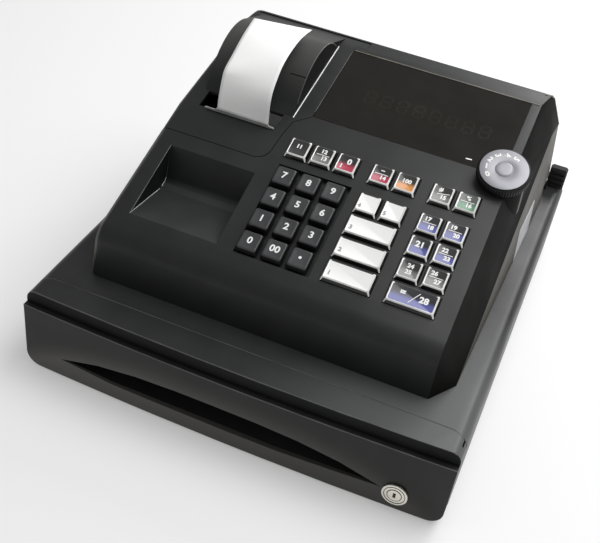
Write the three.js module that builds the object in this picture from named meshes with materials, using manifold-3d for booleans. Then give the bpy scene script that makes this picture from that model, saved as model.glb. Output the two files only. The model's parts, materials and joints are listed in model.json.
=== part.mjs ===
// A small electronic cash register on its cash drawer, in millimetres.
// X runs right, Y from the front to the back, Z up. The origin is under the middle of the part.
import * as THREE from "three";
import { ConvexGeometry } from "three/addons/geometries/ConvexGeometry.js";
import { mergeVertices } from "three/addons/utils/BufferGeometryUtils.js";
import Module from "manifold-3d";

const wasm = await Module();
wasm.setup();

// Clearances and mesh counts
const gap = 0.3; // between pieces that touch or run in each other
const overrun = 5; // how far a cutting body passes the surface that it cuts
const weldReach = 0.001;
const arcSteps = 6;
const roundSides = 24;
const pinSides = 12;

// Cash drawer cabinet
const cabinetWidth = 326;
const cabinetDepth = 357; // from the plane of the drawer front to the back
const cabinetEdgeRadius = 8;
const cabinetWall = 2;
const footHeight = 2;
const footRadius = 9;
const footInset = 27;
const trimFace = 10.8;
const trimSetback = 0.6;
const trimBow = 3.9;
const trimSeam = 23.3; // from the drawer front's plane to the seam on top
const trimSideSeam = 18.6; // the same, down the side walls
const seamCornerReach = 11;
const runnerWidth = 20;
const runnerHeight = 2.7;
const guideWidth = 2.5;
const guideHeight = 5;

// Drawer front, with its finger pull
const frontHeight = 56.4;
const frontBow = 4;
const frontDepth = 18.3;
const frontWall = 3;
const frontCornerRadius = 11;
const pullLeftInset = 30.4; // from the cabinet's left side
const pullLockRoom = 1.4;
const pullBottom = 13.2;
const pullArch = 20;
const pullTipRise = 3.6;
const pullDepth = 11;
const pullFloorRise = 7;
const pullWall = 2.4;
const pullFloorLeftShare = 0.333; // of the pull's width, from its centre
const pullFloorRightShare = 0.2;
const pullArchPower = 2.4; // how square-shouldered its upper edge is
const pullSteps = 8;

// Drawer lock
const lockInset = 34.9; // from the cabinet's right side
const lockHeight = 15.5;
const lockFlangeRadius = 9.3;
const lockFlangeThickness = 1.4;
const lockBodyRadius = 7.6;
const lockBodyLength = 23;
const plugRadius = 4.9;
const plugProud = 0.3;
const keyholeWidth = 2;
const keyholeHeight = 4.6;
const keyholeDepth = 9;
const camLength = 26;
const camRounding = 3;
const camWidth = 8;
const camThickness = 2;
const lugThickness = 3.4;
const lugReach = 10;
const lugHeight = 13;
const lugBottom = 11;

// Drawer box and cash tray
const boxSideInset = 17;
const boxFront = 26;
const boxRearRoom = 31; // behind the box, for its latch and spring
const boxHeight = 43;
const boxWall = 1.5;
const boxBossRadius = 4;
const boxBossSpacing = 160;
const boxBossHeight = 25;
const trayHeight = 39;
const trayWall = 2;
const coinCups = 5;
const coinCupDepth = 70;
const noteBays = 3;
const rearBayDepth = 30.4;
const clipArm = 45;
const clipWidth = 15.6;
const clipThickness = 2.5;
const clipBarrelRadius = 3;
const clipPinRadius = 1.5;
const clipPivotHeight = 11.2; // above the tray's floor
const clipPivotInset = 10; // from the bay's back wall
const clipEarWidth = 3;
const clipEarDepth = 10;

// Drawer latch, its keeper, solenoid and push-out spring
const keeperWidth = 20;
const keeperReach = 12;
const keeperThickness = 2;
const keeperHeight = 7; // above the box's bottom
const keeperLip = 6;
const latchWidth = 14;
const latchBarrelRadius = 4;
const latchPinRadius = 2;
const latchPivotInset = 9; // from the cabinet's back
const latchPivotHeight = 26;
const latchNoseReach = 18.5;
const latchNoseDepth = 4.5;
const latchNoseClearance = 0.8;
const latchArmThickness = 5;
const earThickness = 3;
const earHalfDepth = 6;
const solenoidWidth = 24;
const solenoidDepth = 20;
const solenoidBottom = 38;
const solenoidHeight = 24;
const plungerRadius = 3;
const plungerLength = 3.5;
const springRadius = 6;
const springPlace = 70;
const springHeight = 25;

// Register housing
const housingLeft = 134.2; // from the middle to its left foot
const housingFront = 41.4; // from the drawer front's plane
const frontCornerHeight = 38.4; // of the sharp corner under the front rounding
const frontLean = 3.1;
const frontRounding = 18;
const keySlopeDegrees = 21.5;
const slopeStart = 15.5; // from the front corner to the key slope's own origin
const displaySlopeDegrees = 12.5;
const ridgeMargin = 1.4193; // from the window's rear edge to the ridge, along the display slope
const shelfDepth = 26;
const shelfFall = 1;
const shelfRounding = 8;
const shoulderReach = 15;
const shoulderDrop = 32.2;
const rearReach = 24.6;
const leftDraftShare = 0.055; // sideways per unit of height
const leftRounding = 7;
const leftRoundingSteps = 3;
const bevelX = 128; // of the bevel's upper edge
const outerX = 142; // of its lower edge
const rearFootX = 149;
const chamferDepth = 21.9;
const outerEdgeReach = 243.6; // from the housing's front foot
const outerEdgeHeight = 83.5;
const caseWall = 2.5;
// Height above the cabinet and way from bevel edge to rear foot, as shares, down the rear right corner
const rearCornerShares = [
  [1, 0.19],
  [0.962, 0.286],
  [0.898, 0.571],
  [0.798, 0.667],
  [0.706, 0.714],
  [0, 1],
];
const notchFront = 316;
const notchDepth = 24;
const notchHeight = 17;

// Keyboard: a grid on the key slope
const keyPitch = 19.05;
const keyRowPitch = 20.05;
const firstColumn = -24;
const departmentColumn = 41;
const rightColumn = 87;
const firstRow = 15.25;
const functionRowPitch = 27.3; // from the last row of number keys
const bendMargin = 10.1526; // from that row to the bend, along the slope
const keyStroke = 3;
const keyRise = 3.8;
const keyChamfer = 1.2;
const keyDish = 0.5;
const functionBaseWidth = 17.3;
const functionBaseDepth = 17.8;
const functionTopWidth = 14.5;
const functionTopDepth = 14.6;
const functionShoulder = 0.6;
const flangeDepth = 19.6;
const flangeThickness = 1.5;
const numberBaseWidth = 16;
const numberBaseDepth = 17.4;
const numberTopWidth = 14;
const numberTopDepth = 14.6;
const numberSkirt = 0.8; // below the key slope
const numberStem = 11;
const numberFlange = 13.5;
const keyFootWidth = 7;
const keyFootDepth = 8.7; // below the key slope
const wellLeftMargin = 8.5;
const wellRightMargin = 10.5;
const wellBackMargin = 11;
const wellFrontMargin = 10.25;
const wellDepth = 4;
const boardThickness = 2.8;
const boardLeft = -38;
const boardRight = 120;
const boardFront = 3;
const boardBack = 110;
const boardPostRadius = 2.2;
const boardPostLeft = 29.5;
const boardPostRight = 73.4;
const boardPostFront = 22;
const boardPostBack = 94;

// Coin and pen tray sunk into the key slope
const penTrayLeft = -115;
const penTrayRight = -46;
const penTrayFront = 6.1;
const penTrayBack = 72;
const penTrayDepth = 23;
const penTrayValleyFront = 47.5;
const penTrayValleyBack = 56;
const penTrayFillet = 5;
const penTrayWall = 2.2;

// Printer cover with its dome, hinge, slot and tear bar; places across are from the middle
const coverSeamFront = 85.6; // along the key slope
const coverCornerX = -44.3;
const coverCornerRadius = 11;
const coverEdgeX = -42.3;
const coverEdgeS = 107.5;
const coverWaistX = -39.8;
const coverWaistS = 128;
const coverInnerX = -28.8;
const coverInnerS = 138.7;
const coverRearX = -20.3;
const coverRearS = 231.7;
const coverSkirtHeight = 62.5; // of the skirt's lower edge above the cabinet
const coverCornerLeft = -121.3;
const coverCornerSetback = 7.5;
const coverReach = 80; // how far the cover's cutting body goes to each side of the slope
const domeLeft = -116;
const domeRight = -42;
const domeRadius = 51;
const domeCentreY = 236;
const domeCentreZ = 142;
const domeFront = 184.6;
const domeBackReach = 15; // behind the ridge
const domeWall = 2.2;
const hingeReach = 17.5; // behind the ridge
const hingeDrop = 2.6;
const hingeBarrelRadius = 2.5;
const hingePinRadius = 1.2;
const hingePinLength = 3.5;
const hingeBossDepth = 3.5;
const hingeSwing = 0.5; // more room behind the cover's rear left corner, where it swings
const slotLeft = -112.5;
const slotRight = -49.2;
const slotFront = 166.8;
const tearBarLeft = -107.2;
const tearBarRight = -49.7;
const tearBarThickness = 2;
const tearBarHeight = 4;

// Paper strip: its edges' path up through the slot and back over the dome
const stripLeft = -97.3;
const stripRight = -54.7;
const stripThickness = 0.4;
const stripFoot = 147;
const stripRows = 20;
const stripColumns = 6;
// Distance behind the slot's front edge and height, as shares of the strip's reach and rise
const stripReach = 74;
const stripRise = 54;
const stripLeftShares = [
  [0.006, 0.06],
  [0.006, 0.14],
  [0.023, 0.36],
  [0.066, 0.6],
  [0.122, 0.724],
  [0.274, 0.83],
  [0.519, 0.998],
  [0.776, 1.115],
];
const stripRightShares = [
  [0.006, 0.06],
  [0.006, 0.14],
  [0.006, 0.36],
  [0.02, 0.6],
  [0.108, 0.796],
  [0.301, 0.98],
  [0.651, 1.08],
  [0.993, 1.04],
];

// Display window and its board, along the display slope from the bend
const windowLeft = -28.5;
const windowRight = 120.8;
const windowFront = 26.6;
const windowBack = 113.3;
const windowThickness = 3;
const ledgeWidth = 3;
const ledgeThickness = 2;
const frameWall = 2.8;
const displayBoardFront = 34;
const displayBoardThickness = 2;

// Mode dial and its switch, on the key slope carried on past the bend
const dialX = 122;
const dialS = 136;
const dialRadius = 19.6;
const dialTop = 9;
const dialFaceStep = 1.4;
const dialKnurlDepth = 0.6;
const dialKnurls = 36;
const dialCapRadius = 6.4;
const dialCapRise = 0.8;
const dialShaftRadius = 2.5;
const pedestalRadius = 17.2;
const pedestalTop = 1;
const pedestalDepth = 34;
const bushRadius = 6;
const bushDepth = 11;
const switchLeft = 105;
const switchRight = 125.5;
const switchLength = 17;
const switchHeight = 8;

// Printer, paper roll and transformer inside the housing
const floorThickness = 2.5;
const printerLeft = -112;
const printerRight = -40;
const printerFront = 150;
const printerBack = 276;
const printerPlate = 2.5;
const cheekFrontHeight = 66; // above the printer's own foot
const cheekHeadHeight = 73;
const cheekHeadBack = 190;
const cheekNeckBack = 202;
const cheekRearHeight = 47;
const headFront = 158;
const headDepth = 9;
const headBottom = 57;
const headHeight = 14;
const rollerY = 179;
const rollerZ = 134;
const rollerRadius = 7;
const rollerShaftRadius = 2.5;
const rollerMargin = 4;
const rollRadius = 38;
const rollCoreRadius = 6;
const rollWidth = 44;
const cradleWall = 2.4;
const cradleAngle = 50; // degrees to each side of straight down
const cradleSteps = 10;
const cradleClearance = 0.7;
const transformerWidth = 60;
const transformerDepth = 52;
const transformerHeight = 46;
const transformerX = 84;
const transformerFront = 236;
const coilBulge = 6;
const coilHeight = 26;

// Cord gland at the rear right corner
const glandWidth = 15;
const glandDepth = 9;
const glandHeight = 20;
const glandInset = 1; // from the cabinet's right side and back
const glandRibs = 4;
const glandRibDepth = 1.2;

// Places worked out from the sizes above
const halfWidth = cabinetWidth / 2;
const cabinetTopZ = frontHeight + gap + trimFace;
const slopeAngle = THREE.MathUtils.degToRad(keySlopeDegrees);
const displayAngle = THREE.MathUtils.degToRad(displaySlopeDegrees);
const cornerY = housingFront + frontLean;
const cornerZ = cabinetTopZ + frontCornerHeight;
const slopeY = cornerY + slopeStart;
const slopeZ = cornerZ + slopeStart * Math.tan(slopeAngle);
const keyRows = [0, 1, 2, 3].map((row) => firstRow + row * keyRowPitch);
const functionRow = keyRows[3] + functionRowPitch;
const bendReach = slopeStart + (functionRow + bendMargin) * Math.cos(slopeAngle);
const bendY = cornerY + bendReach;
const bendZ = cornerZ + bendReach * Math.tan(slopeAngle);
const ridgeReach = (windowBack + ridgeMargin) * Math.cos(displayAngle);
const ridgeY = bendY + ridgeReach;
const ridgeZ = bendZ + ridgeReach * Math.tan(displayAngle);
const shelfY = ridgeY + shelfDepth;
const shelfZ = ridgeZ - shelfFall;
const shoulderY = shelfY + shoulderReach;
const shoulderZ = shelfZ - shoulderDrop;
const rearFootY = shoulderY + rearReach;
const hingeY = ridgeY + hingeReach;
const hingeZ = shelfAt(hingeY) - hingeDrop;
const domeBack = ridgeY + domeBackReach;
const slopeFrame = new THREE.Matrix4().makeRotationX(slopeAngle).setPosition(0, slopeY, slopeZ);
const displayFrame = new THREE.Matrix4().makeRotationX(displayAngle).setPosition(0, bendY, bendZ);
const boxHalfWidth = halfWidth - boxSideInset;
const boxBack = cabinetDepth - boxRearRoom;
const boxBottomZ = cabinetWall + runnerHeight + gap;
const lockX = halfWidth - lockInset;
const pullWidth = lockX - lockFlangeRadius - pullLockRoom + halfWidth - pullLeftInset;
const boardDepth = keyFootDepth + keyStroke + gap; // of its rubber mat's top below the key slope
const lockFace = frontSurface(lockX - lockFlangeRadius) - gap;
const numberColumns = [firstColumn, firstColumn + keyPitch, firstColumn + 2 * keyPitch];
const departmentColumns = [departmentColumn, departmentColumn + keyPitch];
const rightColumns = [rightColumn, rightColumn + keyPitch];

// Outlines are lists of points in a plane

function displayAt(y) {
  return bendZ + (y - bendY) * Math.tan(displayAngle);
}

function shelfAt(y) {
  return ridgeZ - (shelfFall * (y - ridgeY)) / shelfDepth;
}

function rectangle(left, right, low, high) {
  return [
    [left, low],
    [right, low],
    [right, high],
    [left, high],
  ];
}

function chamferedRectangle(halfX, halfY, chamfer) {
  return [
    [chamfer - halfX, -halfY],
    [halfX - chamfer, -halfY],
    [halfX, chamfer - halfY],
    [halfX, halfY - chamfer],
    [halfX - chamfer, halfY],
    [chamfer - halfX, halfY],
    [-halfX, halfY - chamfer],
    [-halfX, chamfer - halfY],
  ];
}

function arc(centreX, centreY, radius, from, to, steps) {
  return Array.from({ length: steps + 1 }, (_, i) => {
    const angle = from + ((to - from) * i) / steps;
    return [centreX + radius * Math.cos(angle), centreY + radius * Math.sin(angle)];
  });
}

function circle(centreX, centreY, radius, sides) {
  return arc(centreX, centreY, radius, 0, 2 * Math.PI, sides).slice(0, sides);
}

// Moves every edge of an anticlockwise outline inwards by its own inset
function insetOutline(corners, insets) {
  const lines = corners.map(([x, y], i) => {
    const [nextX, nextY] = corners[(i + 1) % corners.length];
    const length = Math.hypot(nextX - x, nextY - y);
    const along = [(nextX - x) / length, (nextY - y) / length];
    const inset = Array.isArray(insets) ? insets[i] : insets;
    return { x: x - along[1] * inset, y: y + along[0] * inset, along };
  });
  return corners.map((corner, i) => {
    const one = lines[(i + corners.length - 1) % corners.length];
    const two = lines[i];
    const cross = one.along[0] * two.along[1] - one.along[1] * two.along[0];
    const reach = ((two.x - one.x) * two.along[1] - (two.y - one.y) * two.along[0]) / cross;
    return [one.x + one.along[0] * reach, one.y + one.along[1] * reach];
  });
}

// Replaces each corner that has a radius by an arc
function roundOutline(corners, radii) {
  return corners.flatMap(([x, y], i) => {
    const radius = radii[i];
    if (radius <= 0) return [[x, y]];
    const before = corners[(i + corners.length - 1) % corners.length];
    const after = corners[(i + 1) % corners.length];
    const back = new THREE.Vector2(before[0] - x, before[1] - y).normalize();
    const ahead = new THREE.Vector2(after[0] - x, after[1] - y).normalize();
    const half = Math.acos(back.dot(ahead)) / 2;
    const middle = back.clone().add(ahead).normalize();
    const centre = new THREE.Vector2(x, y).addScaledVector(middle, radius / Math.sin(half));
    const start = new THREE.Vector2(x, y).addScaledVector(back, radius / Math.tan(half)).sub(centre);
    const end = new THREE.Vector2(x, y).addScaledVector(ahead, radius / Math.tan(half)).sub(centre);
    const turn = Math.atan2(start.cross(end), start.dot(end));
    return arc(centre.x, centre.y, radius, start.angle(), start.angle() + turn, arcSteps);
  });
}

// Solids: three.js makes each shape, manifold-3d joins and cuts them

function toSolid(geometry, frame) {
  if (frame) geometry.applyMatrix4(frame);
  geometry.deleteAttribute("normal");
  geometry.deleteAttribute("uv");
  const merged = mergeVertices(geometry, weldReach);
  const vertProperties = new Float32Array(merged.attributes.position.array);
  const triVerts = new Uint32Array(merged.index.array);
  return new wasm.Manifold(new wasm.Mesh({ numProp: 3, vertProperties, triVerts }));
}

function toGeometry(solid) {
  const mesh = solid.getMesh();
  const geometry = new THREE.BufferGeometry();
  geometry.setAttribute("position", new THREE.BufferAttribute(mesh.vertProperties, 3));
  geometry.setIndex(new THREE.BufferAttribute(mesh.triVerts, 1));
  const faceted = geometry.toNonIndexed();
  faceted.computeVertexNormals();
  return faceted;
}

function extruded(outline, length, basis, frame) {
  const shape = new THREE.Shape(outline.map(([x, y]) => new THREE.Vector2(x, y)));
  const geometry = new THREE.ExtrudeGeometry(shape, { depth: length, bevelEnabled: false });
  return toSolid(geometry.applyMatrix4(basis), frame);
}

// Outline in Y and Z, from one X to another
function alongX(outline, from, to, frame) {
  const basis = new THREE.Matrix4().makeBasis(
    new THREE.Vector3(0, 1, 0),
    new THREE.Vector3(0, 0, 1),
    new THREE.Vector3(1, 0, 0),
  );
  return extruded(outline, to - from, basis.setPosition(from, 0, 0), frame);
}

// Outline in X and Z, from one Y to another
function alongY(outline, from, to, frame) {
  const basis = new THREE.Matrix4().makeBasis(
    new THREE.Vector3(1, 0, 0),
    new THREE.Vector3(0, 0, 1),
    new THREE.Vector3(0, -1, 0),
  );
  return extruded(outline, to - from, basis.setPosition(0, to, 0), frame);
}

// Outline in X and Y, from one Z to another
function alongZ(outline, from, to, frame) {
  return extruded(outline, to - from, new THREE.Matrix4().setPosition(0, 0, from), frame);
}

function block(x0, x1, y0, y1, z0, z1, frame) {
  return alongZ(rectangle(x0, x1, y0, y1), z0, z1, frame);
}

// A closed body through rings of equal length, each anticlockwise seen against the way they follow each other
function loft(rings, frame) {
  const count = rings[0].length;
  const top = (rings.length - 1) * count;
  const index = [];
  for (let ring = 0; ring + 1 < rings.length; ring += 1) {
    for (let i = 0; i < count; i += 1) {
      const a = ring * count + i;
      const b = ring * count + ((i + 1) % count);
      index.push(a, b, b + count, a, b + count, a + count);
    }
  }
  for (let i = 1; i + 1 < count; i += 1) {
    index.push(0, i + 1, i);
    index.push(top, top + i, top + i + 1);
  }
  const geometry = new THREE.BufferGeometry();
  geometry.setAttribute("position", new THREE.Float32BufferAttribute(rings.flat(2), 3));
  geometry.setIndex(index);
  return toSolid(geometry, frame);
}

function joined(...solids) {
  return solids.reduce((whole, piece) => whole.add(piece));
}

function cut(solid, ...tools) {
  return tools.reduce((whole, tool) => whole.subtract(tool), solid);
}

function finish(color, roughness, metalness) {
  return new THREE.MeshStandardMaterial({ color, roughness, metalness });
}

const blackPlastic = finish(0x24272a, 0.5, 0);
const darkPlastic = finish(0x141517, 0.55, 0);
const smokedPlastic = finish(0x1a1612, 0.15, 0);
const nickel = finish(0xb9b6ad, 0.25, 1);
const steel = finish(0x9a9da0, 0.4, 0.9);
const greyFace = finish(0x8e9097, 0.45, 0.2);
const paperWhite = finish(0xf7f7f5, 0.9, 0);
const clearPlastic = finish(0xc9ced0, 0.1, 0);
const rubberBlack = finish(0x101010, 0.85, 0);
const boardGreen = finish(0x24523a, 0.6, 0);
const trayGrey = finish(0x3a3d40, 0.6, 0);

const stand = new THREE.Group();
const slope = new THREE.Group();
slope.applyMatrix4(slopeFrame);
stand.add(slope);

function place(name, solid, material, parent = stand) {
  const mesh = new THREE.Mesh(toGeometry(solid), material);
  mesh.name = name;
  parent.add(mesh);
  return mesh;
}

// Cabinet

function cabinetSection(inset, lowZ) {
  const side = halfWidth - inset;
  const top = cabinetTopZ - inset;
  const radius = Math.max(cabinetEdgeRadius - inset, gap);
  return roundOutline(rectangle(-side, side, lowZ, top), [0, 0, radius, radius]);
}

// The line across the cabinet where the front trim meets the top cover, drawn from left to right
function seamLine(shift) {
  const side = halfWidth + overrun;
  const shoulder = halfWidth - seamCornerReach;
  return [
    [-side, trimSideSeam + shift],
    [-halfWidth, trimSideSeam + shift],
    [-shoulder, trimSeam + shift],
    [shoulder, trimSeam + shift],
    [halfWidth, trimSideSeam + shift],
    [side, trimSideSeam + shift],
  ];
}

function cabinetTop() {
  const back = cabinetDepth + overrun;
  const plan = [...seamLine(gap), [halfWidth + overrun, back], [-halfWidth - overrun, back]];
  const whole = alongY(cabinetSection(0, 0), 0, cabinetDepth);
  const hollow = alongY(cabinetSection(cabinetWall, -overrun), -overrun, back);
  return cut(whole, hollow).intersect(alongZ(plan, -overrun, cabinetTopZ + overrun));
}

function frontTrim() {
  const front = Array.from({ length: 2 * arcSteps + 1 }, (_, i) => {
    const share = i / arcSteps - 1;
    return [share * halfWidth, trimSetback + trimBow * share * share];
  });
  const plan = [...front, ...seamLine(0).reverse()];
  const bottom = frontHeight + gap;
  const whole = alongY(cabinetSection(0, bottom), 0, trimSeam + overrun);
  const hollowSide = halfWidth - cabinetWall;
  const hollow = alongY(
    rectangle(-hollowSide, hollowSide, bottom - overrun, cabinetTopZ - cabinetWall),
    trimSideSeam - overrun,
    trimSeam + 2 * overrun,
  );
  return cut(whole.intersect(alongZ(plan, 0, cabinetTopZ + overrun)), hollow);
}

function cabinetBase() {
  const side = halfWidth - cabinetWall - gap;
  const front = trimSeam + gap;
  const back = cabinetDepth;
  const top = cabinetTopZ - cabinetWall - gap;
  const inner = side - cabinetWall;
  const tub = cut(
    alongY(cabinetSection(cabinetWall + gap, 0), front, back),
    block(-inner, inner, front - overrun, back - cabinetWall, cabinetWall, top + overrun),
  );
  const runnerTop = cabinetWall + runnerHeight;
  const guide = boxHalfWidth + gap;
  const pieces = [tub];
  for (const way of [-1, 1]) {
    const runnerEdges = [way * (boxHalfWidth - runnerWidth / 2), way * inner].sort((a, b) => a - b);
    pieces.push(block(...runnerEdges, front, back - cabinetWall / 2, cabinetWall / 2, runnerTop));
    const guideEdges = [way * guide, way * (guide + guideWidth)].sort((a, b) => a - b);
    pieces.push(block(...guideEdges, boxFront, back - cabinetWall / 2, runnerTop / 2, runnerTop + guideHeight));
    for (const y of [front + footInset, back - footInset]) {
      const foot = circle(way * (halfWidth - footInset), y, footRadius, roundSides);
      pieces.push(alongZ(foot, -footHeight, cabinetWall / 2));
    }
    const earInner = latchWidth / 2 + gap;
    const ear = [way * earInner, way * (earInner + earThickness)].sort((a, b) => a - b);
    const earOutline = rectangle(
      back - latchPivotInset - earHalfDepth,
      back - cabinetWall / 2,
      latchPivotHeight - earHalfDepth,
      latchPivotHeight + earHalfDepth,
    );
    pieces.push(alongX(earOutline, ...ear));
  }
  const lugBack = lockFace + lockBodyLength;
  const lugRight = inner + cabinetWall / 2;
  const lugTop = lugBottom + lugHeight;
  pieces.push(block(inner - lugReach, lugRight, lugBack - lugThickness, lugBack, lugBottom, lugTop));
  pieces.push(block(inner, side, frontDepth + gap, front + overrun, lugBottom, lugTop));
  const pinHole = circle(back - latchPivotInset, latchPivotHeight, latchPinRadius + gap, pinSides);
  const pinReach = latchWidth / 2 + earThickness + overrun;
  return cut(joined(...pieces), alongX(pinHole, -pinReach, pinReach));
}

// Drawer front: bowed outwards, rounded at its lower corners, hollow behind

function frontSurface(x) {
  return -frontBow * (1 - (x / halfWidth) ** 2);
}

function pullOutline(floorRise) {
  const centre = lockX - lockFlangeRadius - pullLockRoom - pullWidth / 2;
  const lower = [
    [centre - pullWidth / 2, pullBottom + pullTipRise + floorRise / 2],
    [centre - pullFloorLeftShare * pullWidth, pullBottom + floorRise],
    [centre + pullFloorRightShare * pullWidth, pullBottom + floorRise],
    [centre + pullWidth / 2, pullBottom + pullTipRise + floorRise / 2],
  ];
  const upper = [];
  for (let i = 1; i < pullSteps; i += 1) {
    const share = 1 - (2 * i) / pullSteps;
    const height = pullArch - pullTipRise + (pullTipRise - floorRise / 2) * share ** 2;
    const arched = pullBottom + pullTipRise + floorRise / 2 + height * (1 - Math.abs(share) ** pullArchPower);
    upper.push([centre + (share * pullWidth) / 2, arched]);
  }
  return [...lower, ...upper];
}

function drawerFront() {
  const corners = rectangle(-halfWidth, halfWidth, 0, frontHeight);
  const outline = roundOutline(corners, [frontCornerRadius, frontCornerRadius, 0, 0]);
  const front = Array.from({ length: 2 * arcSteps + 1 }, (_, i) => {
    const x = (i / arcSteps - 1) * halfWidth;
    return [x, frontSurface(x)];
  });
  const plan = [...front, [halfWidth, frontDepth], [-halfWidth, frontDepth]];
  const body = alongY(outline, -frontBow - overrun, frontDepth).intersect(
    alongZ(plan, -overrun, frontHeight + overrun),
  );
  const inner = roundOutline(insetOutline(corners, frontWall), [
    frontCornerRadius - frontWall,
    frontCornerRadius - frontWall,
    0,
    0,
  ]);
  const hollow = alongY(inner, frontWall, frontDepth + overrun);
  const pocketOutline = insetOutline(pullOutline(0), -pullWall);
  const pocket = alongY(pocketOutline, 0, pullDepth + pullWall);
  const mouth = pullOutline(0).map(([x, z]) => [x, -frontBow - overrun, z]);
  const lip = pullOutline(0).map(([x, z]) => [x, 0, z]);
  const rear = pullOutline(pullFloorRise).map(([x, z]) => [x, pullDepth, z]);
  const recess = loft([rear, lip, mouth]);
  const seatOutline = circle(lockX, lockHeight, lockBodyRadius + gap, roundSides);
  const seat = alongY(seatOutline, -frontBow - overrun, frontDepth);
  const collarRadius = lockBodyRadius + gap + frontWall;
  const collar = alongY(circle(lockX, lockHeight, collarRadius, roundSides), frontWall / 2, pullDepth);
  const shell = joined(cut(body, hollow), pocket, collar);
  const outside = alongZ(plan, -overrun, frontHeight + overrun);
  return cut(shell.intersect(outside), recess, seat);
}

function lockBarrel() {
  const face = lockFace;
  const flangeOutline = circle(lockX, lockHeight, lockFlangeRadius, roundSides);
  const flange = alongY(flangeOutline, face - lockFlangeThickness, face);
  const bodyEnd = face + lockBodyLength;
  const bodyOutline = circle(lockX, lockHeight, lockBodyRadius, roundSides);
  const body = alongY(bodyOutline, face - lockFlangeThickness / 2, bodyEnd);
  const bore = alongY(
    circle(lockX, lockHeight, plugRadius + gap, roundSides),
    face - lockFlangeThickness - overrun,
    bodyEnd + overrun,
  );
  return cut(joined(flange, body), bore);
}

function lockPlug() {
  const face = lockFace - lockFlangeThickness - plugProud;
  const camFront = lockFace + lockBodyLength + gap;
  const plug = alongY(circle(lockX, lockHeight, plugRadius, roundSides), face, camFront + camThickness);
  const cam = alongY(
    roundOutline(
      rectangle(lockX - camWidth / 2, lockX + camWidth / 2, lockHeight - camWidth / 2, lockHeight + camLength),
      [0, 0, camRounding, camRounding],
    ),
    camFront,
    camFront + camThickness,
  );
  const keyhole = alongY(
    rectangle(
      lockX - keyholeWidth / 2,
      lockX + keyholeWidth / 2,
      lockHeight - keyholeHeight / 2,
      lockHeight + keyholeHeight / 2,
    ),
    face - overrun,
    face + keyholeDepth,
  );
  return cut(joined(plug, cam), keyhole);
}

function drawerBox() {
  const inner = boxHalfWidth - boxWall;
  const top = boxBottomZ + boxHeight;
  const tub = cut(
    block(-boxHalfWidth, boxHalfWidth, boxFront, boxBack, boxBottomZ, top),
    block(-inner, inner, boxFront + boxWall, boxBack - boxWall, boxBottomZ + boxWall, top + overrun),
  );
  const bosses = [-1, 1].map((way) =>
    alongY(
      circle((way * boxBossSpacing) / 2, boxBossHeight, boxBossRadius, pinSides),
      pullDepth + pullWall + gap,
      boxFront + boxWall / 2,
    ),
  );
  const keeperZ = boxBottomZ + keeperHeight;
  const lipTop = keeperZ + keeperThickness + keeperLip;
  const keeperEnd = boxBack + keeperReach;
  const half = keeperWidth / 2;
  const keeper = block(-half, half, boxBack - boxWall / 2, keeperEnd, keeperZ, keeperZ + keeperThickness);
  const lip = block(-half, half, keeperEnd - keeperThickness, keeperEnd, keeperZ, lipTop);
  return joined(tub, ...bosses, keeper, lip);
}

const trayBottomZ = boxBottomZ + boxWall + gap;
const trayFloorZ = trayBottomZ + trayWall;
const trayHalfWidth = boxHalfWidth - boxWall - gap;
const trayFront = boxFront + boxWall + gap;
const trayBack = boxBack - boxWall - gap;
const noteBayFront = trayFront + 2 * trayWall + coinCupDepth;
const noteBayBack = trayBack - 2 * trayWall - rearBayDepth;
const clipY = noteBayBack - clipPivotInset;
const clipZ = trayFloorZ + clipPivotHeight;

// The left and right edges of equal bays across the cash tray
function bays(count) {
  const width = (2 * trayHalfWidth - (count + 1) * trayWall) / count;
  return Array.from({ length: count }, (_, i) => {
    const left = -trayHalfWidth + trayWall + i * (width + trayWall);
    return [left, left + width];
  });
}

function cashTray() {
  const top = trayBottomZ + trayHeight;
  const whole = block(-trayHalfWidth, trayHalfWidth, trayFront, trayBack, trayBottomZ, top);
  const tools = bays(coinCups).map(([left, right]) =>
    block(left, right, trayFront + trayWall, trayFront + trayWall + coinCupDepth, trayFloorZ, top + overrun),
  );
  for (const [left, right] of bays(noteBays)) {
    tools.push(block(left, right, noteBayFront, noteBayBack, trayFloorZ, top + overrun));
    tools.push(block(left, right, noteBayBack + trayWall, trayBack - trayWall, trayFloorZ, top + overrun));
  }
  const ears = [];
  const holes = [];
  for (const [left, right] of bays(noteBays)) {
    const middle = (left + right) / 2;
    const inside = clipWidth / 2 + gap;
    const outline = rectangle(
      clipY - clipEarDepth / 2,
      noteBayBack + trayWall / 2,
      trayFloorZ - trayWall / 2,
      clipZ + clipEarDepth / 2,
    );
    ears.push(alongX(outline, middle - inside - clipEarWidth, middle - inside));
    ears.push(alongX(outline, middle + inside, middle + inside + clipEarWidth));
    const reach = inside + clipEarWidth + overrun;
    holes.push(alongX(circle(clipY, clipZ, clipPinRadius + gap, pinSides), middle - reach, middle + reach));
  }
  return cut(joined(cut(whole, ...tools), ...ears), ...holes);
}

function noteClip(middle) {
  const half = clipWidth / 2;
  const tipZ = trayFloorZ + gap;
  const arm = [
    [clipY - clipArm, tipZ],
    [clipY - clipArm + clipThickness, tipZ],
    [clipY, clipZ - clipThickness / 2],
    [clipY, clipZ + clipThickness / 2],
    [clipY - clipArm, tipZ + clipThickness],
  ];
  const pinReach = half + gap + clipEarWidth;
  return joined(
    alongX(arm, middle - half, middle + half),
    alongX(circle(clipY, clipZ, clipBarrelRadius, pinSides), middle - half, middle + half),
    alongX(circle(clipY, clipZ, clipPinRadius, pinSides), middle - pinReach, middle + pinReach),
  );
}

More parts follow.
